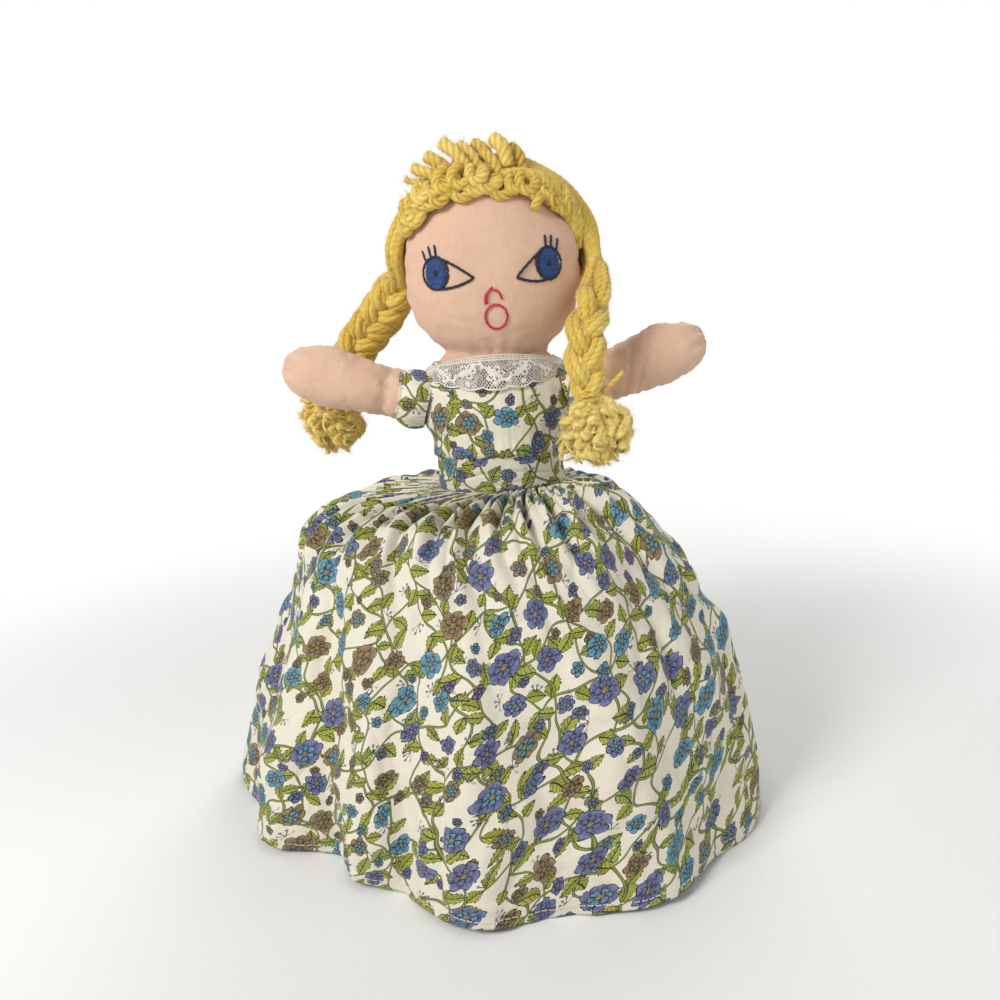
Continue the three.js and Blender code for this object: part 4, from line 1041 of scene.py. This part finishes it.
def skirt_grid(rows, sides):
    """The skirt's outer face, with its gathers, broad folds and small creases, and the cloth's way down it."""
    table = np.array(SKIRT_SHARES)
    outline = np.stack([33 + 104 * table[:, 1], WAIST * (1 - table[:, 0])], 1)
    way = run_length(outline)
    at = np.linspace(0, 1, rows) * way[-1]
    drop, spread, shift = [smooth_table(np.stack([way, column], 1), at)[:, None] for column in table.T]
    drop = np.clip(drop, 0, 1)
    wide = WAIST_WIDE + (HEM_WIDE - WAIST_WIDE) * spread
    deep = WAIST_DEEP + (HEM_DEEP - WAIST_DEEP) * spread
    back = -(np.arange(sides) / sides * TURN)[None]
    fold = 5.2 * np.sin(11 * back + np.sin(3 * back))
    sway = 3.4 * np.cos(3 * back + 1.5)
    billow = 5 * (1 + np.sin(8 * back + 2 * np.sin(2 * back) + 1.9 * drop))
    ripple = 3 * (1 + np.sin(13 * back - 3.8 * drop))
    tuck = 33 * drop * np.maximum(0, np.cos(back + 2.3)) ** 4
    swell = spread * (fold * (.35 + .65 * drop) + sway + (billow + ripple) / 2 - tuck)
    points = np.stack([(wide + swell) * np.cos(back) + HEM_SHIFT * shift, (deep + swell) * np.sin(back),
                       (WAIST - .3) * (1 - drop) + 0 * back], -1)[:, ::-1]
    turn = back[:, ::-1]
    ring = np.stack([np.cos(turn[0]), np.sin(turn[0]), 0 * turn[0]], 1)
    down = at[:, None]
    phase = 62 * turn + 5.5 * wobble(ring * 30, 17, 21) + 1.5 * wobble(ring * 30, 6, 22)
    reach = 32 + 26 * wobble(ring * 40, 7, 23)
    size = 1.0 + .5 * wobble(ring * 40, 5, 24)
    grow = np.clip(down / 14, 0, 1) ** .7
    ridge = 1.15 - 2.3 * np.abs(np.sin(phase / 2)) ** 1.4
    gather = ridge * size * (.7 + 2.7 * grow) * np.exp(-(down / np.maximum(reach, 9)) ** 1.4)
    half = np.sin(phase * .5 + 1) * 2.6 * bump(down, 34, 30) * (1 + wobble(ring * 40, 6, 25))
    long = points * (1, 1, .42)
    puff = wobble(long, 30, 26) * 3.6 + (.5 - np.abs(wobble(long, 22, 27)) * 2) * 2.2
    crisp = (.25 - np.abs(wobble(points * (1, 1, .7), 15, 28))) * 3.0 + wobble(points, 7, 29) * .3
    body = np.clip(down / 50, 0, 1)
    hem = 1 - .55 * np.clip((down - at[-1] + 22) / 22, 0, 1)
    move = gather + half + (puff * hem + crisp) * body
    points = raised(points, move)
    low = np.clip((down - at[-1] + 30) / 30, 0, 1) ** 2
    lifted = 1.7 * (1 - np.cos(11 * turn + np.sin(3 * turn) + 1.2)) * low
    points[..., 2] = np.maximum(points[..., 2], .4 * (1 - drop)) + lifted
    points[..., 2] = np.minimum(points[..., 2], WAIST - .2)
    return points, at


def build_skirt():
    """The skirt and the row of stitches that holds its turned-up hem."""
    rows, sides = 150, 840
    points, at = skirt_grid(rows, sides)
    edge = at[-1] - at
    out = grid_normals(points)
    turning = .45 * np.clip(1.6 - edge / 4.2, 0, 1) - .5 * bump(edge, HEM_LINE, .8)
    points = points + out * turning[:, None, None]
    flare = SKIRT_TOP + (SKIRT_FLAT - SKIRT_TOP) * (at / at[-1])[:, None]
    across = (np.arange(sides + 1) / sides - .5)[None] * flare
    uv = np.stack([across, np.broadcast_to(-at[:, None] * SKIRT_TALL / at[-1], across.shape)], -1)
    shape = Shape()
    shape.grid(points[::-1], uv[::-1], wrap=True)
    skirt = shape.make("dress_skirt", PRINT, .5)
    dress(skirt, "torso", "print", "skirt")

    hem = Shape()
    row = int(np.argmin(np.abs(edge - HEM_LINE)))
    run = run_length(points[row])
    bow = np.sin(np.linspace(0, math.pi, 7))[:, None] * .3 - .05
    for start in np.arange(1, run[-1] - 3, HEM_STITCH_EVERY):
        way = np.linspace(start, start + HEM_STITCH, 7)
        thread(hem, points_at(way, run, points[row]) + points_at(way, run, out[row]) * bow, .3, sides=5, tone=.9)
    dress(hem.make("hem_stitches", LACE), "torso", "lace")


# ---------------------------------------------------------------- lace

def lace_solid(across, along):
    """Whether the thread of the lace covers a point: a net, flowers and leaves worked in it, and its firm edges."""
    net = (np.abs(np.sin(across * 2.7 + along * 1.7)) < .36) | (np.abs(np.sin(across * 2.7 - along * 1.7)) < .36)
    column = np.round(across / LACE_REPEAT)
    x, y = across - column * LACE_REPEAT, along - 7.4 - np.where(column % 2 == 0, .9, -.9)
    away, angle = np.hypot(x, y), np.arctan2(y, x)
    lobe = np.abs(np.cos(2.5 * angle))
    petals = 3.7 * (.6 + .4 * lobe)
    flowers = (away < petals) & ~((away < petals - .8) & (away > 1.2) & (lobe > .62))
    stem = y - 3.2 * np.sin(across * TURN / (2 * LACE_REPEAT))
    leaves = np.abs(stem) < .4 + 1.3 * np.abs(np.sin(across * TURN / 7)) ** 3
    buds = np.hypot((across + 5.2) % LACE_REPEAT - 5.2, along - 12.2) < 1.05
    lines = (np.abs(along - 2.4) < .32) | (np.abs(along - 1.5) < .28)
    edge = (along < .5) | (along > 14.3)
    return net | flowers | leaves | buds | lines | edge


def build_lace():
    """The collar: a ring of lace at the neckline, cut at the shoulders into a front and a back piece."""
    rows, sides = 46, 560
    turn = np.arange(sides) / sides * TURN
    down = np.linspace(0, 1, rows)[:, None]
    front = np.abs(np.sin(turn)) ** 1.5
    scallop = np.abs(np.sin(turn * 9)) ** .6
    top = 220.5 + 4.5 * front
    bottom = 216.6 - 6.6 * front - 1.5 * scallop * (.4 + .6 * front)
    high = top + (bottom - top) * down
    wide, deep = torso_sizes(high, 2.9)
    wide = np.minimum(wide, 34.5)
    spread = .5 + 1.2 * down
    x = (wide + spread * .3) * np.cos(turn)
    y = (deep + spread) * np.sign(np.sin(turn)) * np.abs(np.sin(turn)) ** 1.04
    points = np.stack([x, y, high], -1)
    ruffle = np.sin(turn * 21 + 1.5 * np.sin(turn * 4)) * .45 * down
    points = raised(points, ruffle + wobble(points, 9, 40) * .3)
    uv = np.stack(np.meshgrid(np.arange(sides + 1) / sides * LACE_ROUND, np.linspace(0, LACE_DEEP, rows)), -1)
    centre = (uv[:-1, :-1] + uv[1:, 1:]) / 2
    keep = lace_solid(centre[..., 0], centre[..., 1])
    for name, chosen in (("front", np.sin(turn) <= 0), ("back", np.sin(turn) > 0)):
        shape = Shape()
        shape.grid(points[::-1], uv[::-1], wrap=True)
        faces, uvs = shape.faces[0]
        mask = (keep & chosen[None]).reshape(rows - 1, sides)[::-1].reshape(-1)
        used, index = np.unique(faces[mask], return_inverse=True)
        shape.faces[0] = (index.reshape(-1, 4), uvs[mask])
        shape.points[0] = shape.points[0][used]
        shape.tones[0] = shape.tones[0][used]
        lace = shape.make(f"lace_{name}", LACE, .4)
        dress(lace, "torso", "lace", f"lace_collar_{name}")


# ---------------------------------------------------------------- hair

PARTING_FRONT, PARTING_TURN, HAIRLINE_TURN = -17, 136, math.radians(78)
STRANDS, CROWN_STRANDS, LOW_LOOPS, HIGH_LOOPS = 23, 7, 18, 7


def on_head(directions, out):
    """Points of the head in these directions from its middle, lifted out."""
    low, high = np.zeros(len(directions)), np.full(len(directions), 70.0)
    for _ in range(28):
        middle = (low + high) / 2
        p = HEAD_MIDDLE + directions * middle[:, None]
        wide, deep = head_sizes(np.clip(p[:, 2], 213, HEAD_BOTTOM + HEAD_HEIGHT - .3))
        inside = (p[:, 0] / wide) ** 2 + (np.abs(p[:, 1]) / deep) ** (2 / SEAM_PINCH) < 1
        inside &= p[:, 2] < HEAD_BOTTOM + HEAD_HEIGHT
        low, high = np.where(inside, middle, low), np.where(inside, high, middle)
    return HEAD_MIDDLE + directions * (low + out)[:, None]


def sweep(stations, count, out):
    """A way over the head through directions from its middle."""
    line = smooth_path([unit(np.asarray(s, float)) * 40 for s in stations], count)
    return on_head(unit(line), out)


def parting(share):
    """A direction on the parting, from the front hairline at 0 over the crown to the nape at 1."""
    tilt = math.radians(PARTING_FRONT + share * PARTING_TURN)
    return np.array([0, math.sin(tilt), math.cos(tilt)])


def build_hair():
    """Yarn laid from the parting to the braids: the front strands follow the hairline, the rear ones the nape."""
    for name, side in SIDES.items():
        root = np.array(BRAID_ROUTES[name][0], float) - HEAD_MIDDLE
        target = HEAD_MIDDLE + root + np.array([side * .8, 0, 0])
        hair = Shape(HEAD_ASKEW)
        full = 2.4 if side > 0 else .6
        along = np.linspace(0, 1, 52)
        gather = (np.clip(along - .74, 0, 1)[:, None] / .26) ** 1.6
        for layer, lift, count in ((0, 1.9, STRANDS), (1, 4.2, STRANDS - 1), (2, 5.6, CROWN_STRANDS)):
            for k in range(count):
                share = (k + .5 * layer) / (STRANDS - 1)
                start = parting(share) + (side * (.014 + .006 * layer), 0, 0)
                brow = np.array([side * .62, -.12 + .66 * share, .62 - .66 * share ** 1.4])
                temple = np.array([side * 1.0, (-.05 if side > 0 else .04) + .42 * share, .16 - .26 * share])
                stations = (start, (start + brow) / 2 + (side * .04, 0, .06), brow, temple,
                            unit(root) + (0, .1 * share, .02))
                out = lift + draw.uniform(-.3, .3) + full * np.sin(along * math.pi) ** .7
                path = sweep(stations, len(along), out)
                wave = np.sin(along * 8 + k * 1.7) * draw.uniform(.2, .55)
                path += unit(np.cross(np.gradient(path, axis=0), path - HEAD_MIDDLE)) * wave[:, None]
                turn = k * 2.4 + layer
                spread = np.array([math.cos(turn) * .6, math.cos(turn) * .6, math.sin(turn)])
                spread *= 1 + 3.2 * ((k * 7) % 5) / 5
                path = path * (1 - gather) + (target + spread) * gather
                yarn(hair, path, 2.4, pitch=13, start=k, hairs=2.6)
        piece = hair.make(f"{name}_side_hair", YARN)
        dress(piece, "head", "yarn", f"{name}_hair")

    stitches = Shape(HEAD_ASKEW)
    for share in np.linspace(.06, .98, 30):
        middle = on_head(unit(parting(share))[None], 6.6)[0]
        lean = draw.uniform(-.4, .4)
        x = np.linspace(-3.4, 3.4, 9)
        _, sine, cosine = parting(share)
        way = np.array([0, cosine, -sine])
        up = unit(middle - HEAD_MIDDLE)
        line = middle + np.outer(x, (1, 0, 0)) + np.outer(x * lean, way) + np.outer(.7 - .2 * x ** 2, up)
        thread(stitches, line, .75, tone=.3)
    dress(stitches.make("parting_stitches", YARN), "head", "yarn", "parting_stitch")


def hairline(share):
    """The fringe's line along the forehead, from -1 at the doll's right to 1 at its left."""
    turn = np.asarray(share) * HAIRLINE_TURN
    x = 37 * np.sin(turn) / math.sin(HAIRLINE_TURN)
    return np.stack([x, -14 * np.cos(turn) - 3.2, 299.5 - 15 * np.asarray(share) ** 2], -1)


def build_fringe():
    """The fringe: looped strands in a low and a high row, ends that stand up, strands swept to the doll's left."""
    shape = Shape(HEAD_ASKEW)
    for k in range(LOW_LOOPS + HIGH_LOOPS):
        share, high = -.95 + k * .107, 1.5 * math.sin(k * 2.3)
        if k >= LOW_LOOPS:
            share, high = -.86 + (k - LOW_LOOPS) * .13, 4.2
        middle = hairline(share) + (0, 0, high)
        way = unit(hairline(share + .02) - hairline(share - .02))
        out = unit(np.array([middle[0] * .35, -12, 3.0]))
        up = np.cross(way, out) * -1
        up = up if up[2] > 0 else -up
        size = draw.uniform(5.4, 7.6) * (1 if share < .2 else .8)
        turn = np.linspace(-2.3, 2.0, 28) + draw.uniform(-.5, .5)
        lean = draw.uniform(-1.0, -.1)
        x, y = size * .62 * np.sin(turn), size * (.1 - np.cos(turn)) * .86
        x, y = x * math.cos(lean) - y * math.sin(lean), x * math.sin(lean) + y * math.cos(lean)
        deep = 2.4 * np.cos(turn * .5) + draw.uniform(0, 1.8)
        path = middle + np.outer(x, way) + np.outer(y, up) + np.outer(deep, out) + (0, 0, 1.0)
        yarn(shape, path, 2.45, sides=20, start=k * 1.3, hairs=9, ends=(.4, .4), reach=3.4)
    tips = ((-37, 306, 3), (-33.5, 311.5, 5.5), (-27, 316.5, 6), (-19.5, 320, 6.5), (-12, 319, 6), (-5, 320.5, 6),
            (3.5, 321, 6.5), (-24, 311, 5.5), (-14, 314.5, 5.5), (-1, 315.5, 5.5), (11.5, 317, 6))
    for k, (x, z, thick) in enumerate(tips):
        tip = np.array([x, -12 + (k % 3) * 3.5, z])
        base = np.array([x * .82 + 7, -15 + (k % 3) * 3, z - 13 + abs(x) * .06])
        middle = (base + tip) / 2 + (1.4, -1.2, .9)
        path = smooth_path([base, middle, tip], 22)
        path[:, 2] += np.sin(np.linspace(0, 4, 22) + k) * .5
        yarn(shape, path, thick * .48, pitch=14, sides=24, start=k, hairs=15, ends=(.6, .8), reach=3.5)
    for k in range(12):
        share = .04 + k * .075
        start = hairline(share) + (0, 3, 4.5)
        end = hairline(share + .42 if share < .5 else min(share + .35, 1.12)) + (3.5, 1.5, -3.5 - k * .5)
        middle = (start + end) / 2 + (2.2, -3.2, 6.2)
        yarn(shape, smooth_path([start, middle, end], 30), 2.6, pitch=13, sides=20, start=k, hairs=7, reach=3.2)
    for k, (x, z) in enumerate(((19, 288.5), (28, 288))):
        base = hairline(x / 38) + (0, 1, 2)
        tip = head_front(x + 1.5, z, 2.6)
        path = smooth_path([base, (base + tip) / 2 + (.5, -2.2, .5), tip], 20)
        yarn(shape, path, 2.2, sides=18, start=k, hairs=5, ends=(.5, .8))
    dress(shape.make("fringe_loops", YARN), "head", "yarn", "fringe")


def build_braid(name):
    """One braid of three strands of eight yarns, its loose tuft, and the yarn tied round it."""
    shape = Shape(HEAD_ASKEW)
    count = 260
    path = smooth_path(BRAID_ROUTES[name], count)
    along = unit(np.gradient(path, axis=0))
    across = unit(np.cross(along, (0, 1, 0)))
    deep = np.cross(across, along)
    run = np.linspace(0, 1, count)
    length = run_length(path)[-1]
    last = int(count * BRAID_END)
    sizes, period, first_phase, thick = BRAID_SIZES[name]
    radius = np.interp(run / BRAID_END, (0, .1, .3, .8, 1), sizes)
    wound = run * length
    if name == "left":  # its upper end lies flat before the strands start to cross
        wound = np.logaddexp(0, (wound - 19) / 4) * 4
    for strand in range(3):
        phase = wound / period * TURN + strand * TURN / 3 + first_phase
        centre = path + across * (radius * .58 * np.sin(phase))[:, None]
        centre = (centre + deep * (radius * .42 * np.sin(2 * phase))[:, None])[:last + 4]
        _, one, other = tube_frame(centre)
        for k in range(8):
            size = radius[:last + 4] * (0 if k == 7 else .31)
            roll = k / 7 * TURN + strand + run[:last + 4] * length / BRAID_LAY
            line = centre + one * (size * np.cos(roll))[:, None] + other * (size * np.sin(roll))[:, None]
            yarn(shape, line[::2], thick, start=k + strand, hairs=5, ends=(.9, .9), reach=3)
    tie = path[last]
    end_way = unit(along[last:].mean(0))
    tail = float(np.linalg.norm(path[-1] - tie))
    for k in range(TUFT_STRANDS + TUFT_FINE):
        fine = k >= TUFT_STRANDS
        angle, far = k * 2.4, math.sqrt((k + .5) / TUFT_STRANDS)
        if fine:
            far = math.sqrt((k - TUFT_STRANDS + .5) / TUFT_FINE) * 1.03
        share = np.linspace(0, 1, 36)
        swell = np.interp(share, (0, .25, .6, .85, 1), (.16, .62, 1, .97, .86))
        reach = tail * draw.uniform(.7, 1.03) * (1 - .18 * far)
        line = tie + np.outer(share * reach, end_way)
        line += np.outer(swell * TUFT_WIDE * far * math.cos(angle), across[last])
        line += np.outer(swell * TUFT_DEEP * far * math.sin(angle), deep[last])
        curl = np.clip(share * 3, 0, 1) * (draw.uniform(1.4, 2.6) if fine else draw.uniform(1.2, 2.6))
        wave_length = draw.uniform(4.5, 7.5) if fine else draw.uniform(7, 11)
        wave = share * reach / wave_length * TURN + draw.uniform(0, TURN)
        line += np.outer(curl * np.sin(wave), across[last]) + np.outer(curl * np.cos(wave * .9), deep[last])
        line += np.outer(curl * .8 * np.sin(wave * .8 + 1), end_way)
        # the tuft's strands take painted light through pale, against the shade they cast on each other
        if fine:
            yarn(shape, line, draw.uniform(.5, .85), 2, 5, 7, (.9, .8), start=k, hairs=3, reach=4.2, pale=.5)
        else:
            yarn(shape, line, draw.uniform(1.5, 2.3), 3, 9, 14, (.9, .8), start=k, hairs=10, reach=4.6, pale=.3)
    braid = shape.make(f"{name}_yarn_braid", YARN)
    root, after = BRAID_ROUTES[name][0], smooth_path(BRAID_ROUTES[name], 100)[11]
    across_joint(braid, "head", f"{name}_braid", root, tuple(after), "yarn", f"{name}_braid")

    tie_shape = Shape(HEAD_ASKEW)
    for k in range(3):
        turn = np.linspace(0, TURN * 1.02, 40)
        middle = tie + end_way * (k - 1) * 1.7
        line = middle + np.outer(np.cos(turn) * 5.1, across[last]) + np.outer(np.sin(turn) * 4.6, deep[last])
        line += np.outer(np.sin(turn + k) * .8, end_way)
        yarn(tie_shape, line, 1.1, plies=2, pitch=6, sides=10, hairs=.8)
    if name == "left":
        knot = tie + across[last] * 5
        for end in ((11, -1, 9), (7, -3, -7)):
            line = smooth_path([knot, knot + np.array(end) * .5 + (1, -1, 0), knot + np.array(end)], 20)
            yarn(tie_shape, line, 1.1, plies=2, pitch=6, sides=10, hairs=2)
    dress(tie_shape.make(f"{name}_tie", YARN), f"{name}_braid", "yarn", f"{name}_braid_tie")


# ---------------------------------------------------------------- room, light and camera

FLOOR_REACH = 2600.0
CAMERA_AT, CAMERA_TILT, CAMERA_ROLL = (-1.7, -400, 243), math.radians(90 - 13), math.radians(-3.8)


def build_room():
    """A pale floor that fades into a white surrounding."""
    kit = Kit("pale floor", {"Roughness": .9, "Specular IOR Level": .2})
    u, v = kit.flat()
    grain = kit.noise(u, v, 3, 2)
    kit.finish(kit.mix(grain, ink(240, 239, 236), ink(245, 244, 242)))
    away = (u * u + v * v).run("SQRT")
    seen = kit.node("ShaderNodeLightPath", {}, 0) * kit.step(away, 230, 620)
    glow = kit.node("ShaderNodeEmission", {"Color": (1, 1, 1, 1), "Strength": 1.0})
    both = kit.node("ShaderNodeMixShader", {0: seen})
    kit.tree.links.new(kit.shader.outputs[0], both.socket.node.inputs[1])
    kit.tree.links.new(glow.socket, both.socket.node.inputs[2])
    kit.tree.links.new(both.socket, kit.tree.nodes["Material Output"].inputs[0])
    shape = Shape()
    uv = np.stack(np.meshgrid(*[np.linspace(-FLOOR_REACH, FLOOR_REACH, 9)] * 2), -1)
    shape.grid(np.concatenate([uv, np.full(uv.shape[:2] + (1,), -.4)], -1), uv)
    floor = shape.make("floor", kit.material)
    world = bpy.data.worlds.new("studio")
    bpy.context.scene.world = world
    world.use_nodes = True
    tree = world.node_tree
    tree.nodes.clear()
    path = tree.nodes.new("ShaderNodeLightPath")
    seen = path.outputs["Is Camera Ray"]
    for ray in ("Is Glossy Ray", "Is Transmission Ray"):
        either = tree.nodes.new("ShaderNodeMath")
        either.operation = "MAXIMUM"
        tree.links.new(seen, either.inputs[0])
        tree.links.new(path.outputs[ray], either.inputs[1])
        seen = either.outputs[0]
    both, out = tree.nodes.new("ShaderNodeMixShader"), tree.nodes.new("ShaderNodeOutputWorld")
    tree.links.new(seen, both.inputs[0])
    for socket, colour, strength in ((1, (.97, .98, 1, 1), .25), (2, (1, 1, 1, 1), 1.0)):
        light = tree.nodes.new("ShaderNodeBackground")
        light.inputs[0].default_value, light.inputs[1].default_value = colour, strength
        tree.links.new(light.outputs[0], both.inputs[socket])
    tree.links.new(both.outputs[0], out.inputs[0])


def build_lamp(name, place_at, size, power):
    """A square lamp that shines on the doll's middle."""
    lamp = bpy.data.lights.new(name, "AREA")
    lamp.size, lamp.energy = size, power
    thing = bpy.data.objects.new(name, lamp)
    bpy.context.scene.collection.objects.link(thing)
    thing.location = spot(*place_at)
    aim = spot(0, 0, 150) - thing.location
    thing.rotation_euler = aim.to_track_quat("-Z", "Y").to_euler()


def build_camera():
    """The photograph's view: looking down a little, and rolled a little."""
    lens = bpy.data.cameras.new("camera")
    lens.sensor_width, lens.lens, lens.clip_start = 36, 28.8, .01
    camera = bpy.data.objects.new("camera", lens)
    bpy.context.scene.collection.objects.link(camera)
    turn = Matrix.Rotation(CAMERA_TILT, 4, "X") @ Matrix.Rotation(CAMERA_ROLL, 4, "Z")
    camera.matrix_world = Matrix.Translation(spot(*CAMERA_AT)) @ turn
    bpy.context.scene.camera = camera


build_camera()
build_room()
build_lamp("key", (-640, -560, 720), .36, 7.7)
build_lamp("fill", (700, -500, 450), .9, 2.5)
build_lamp("back", (200, 650, 750), .7, 4.2)
HEAD_STUFFED = head_rings()
build_head()
build_face()
build_torso()
for name, side in SIDES.items():
    build_arm(name, side)
    build_leg(name, side)
build_bodice()
build_skirt()
build_lace()
build_hair()
build_fringe()
for name in SIDES:
    build_braid(name)

bpy.context.scene.view_settings.view_transform = "Standard"
bpy.context.view_layer.update()
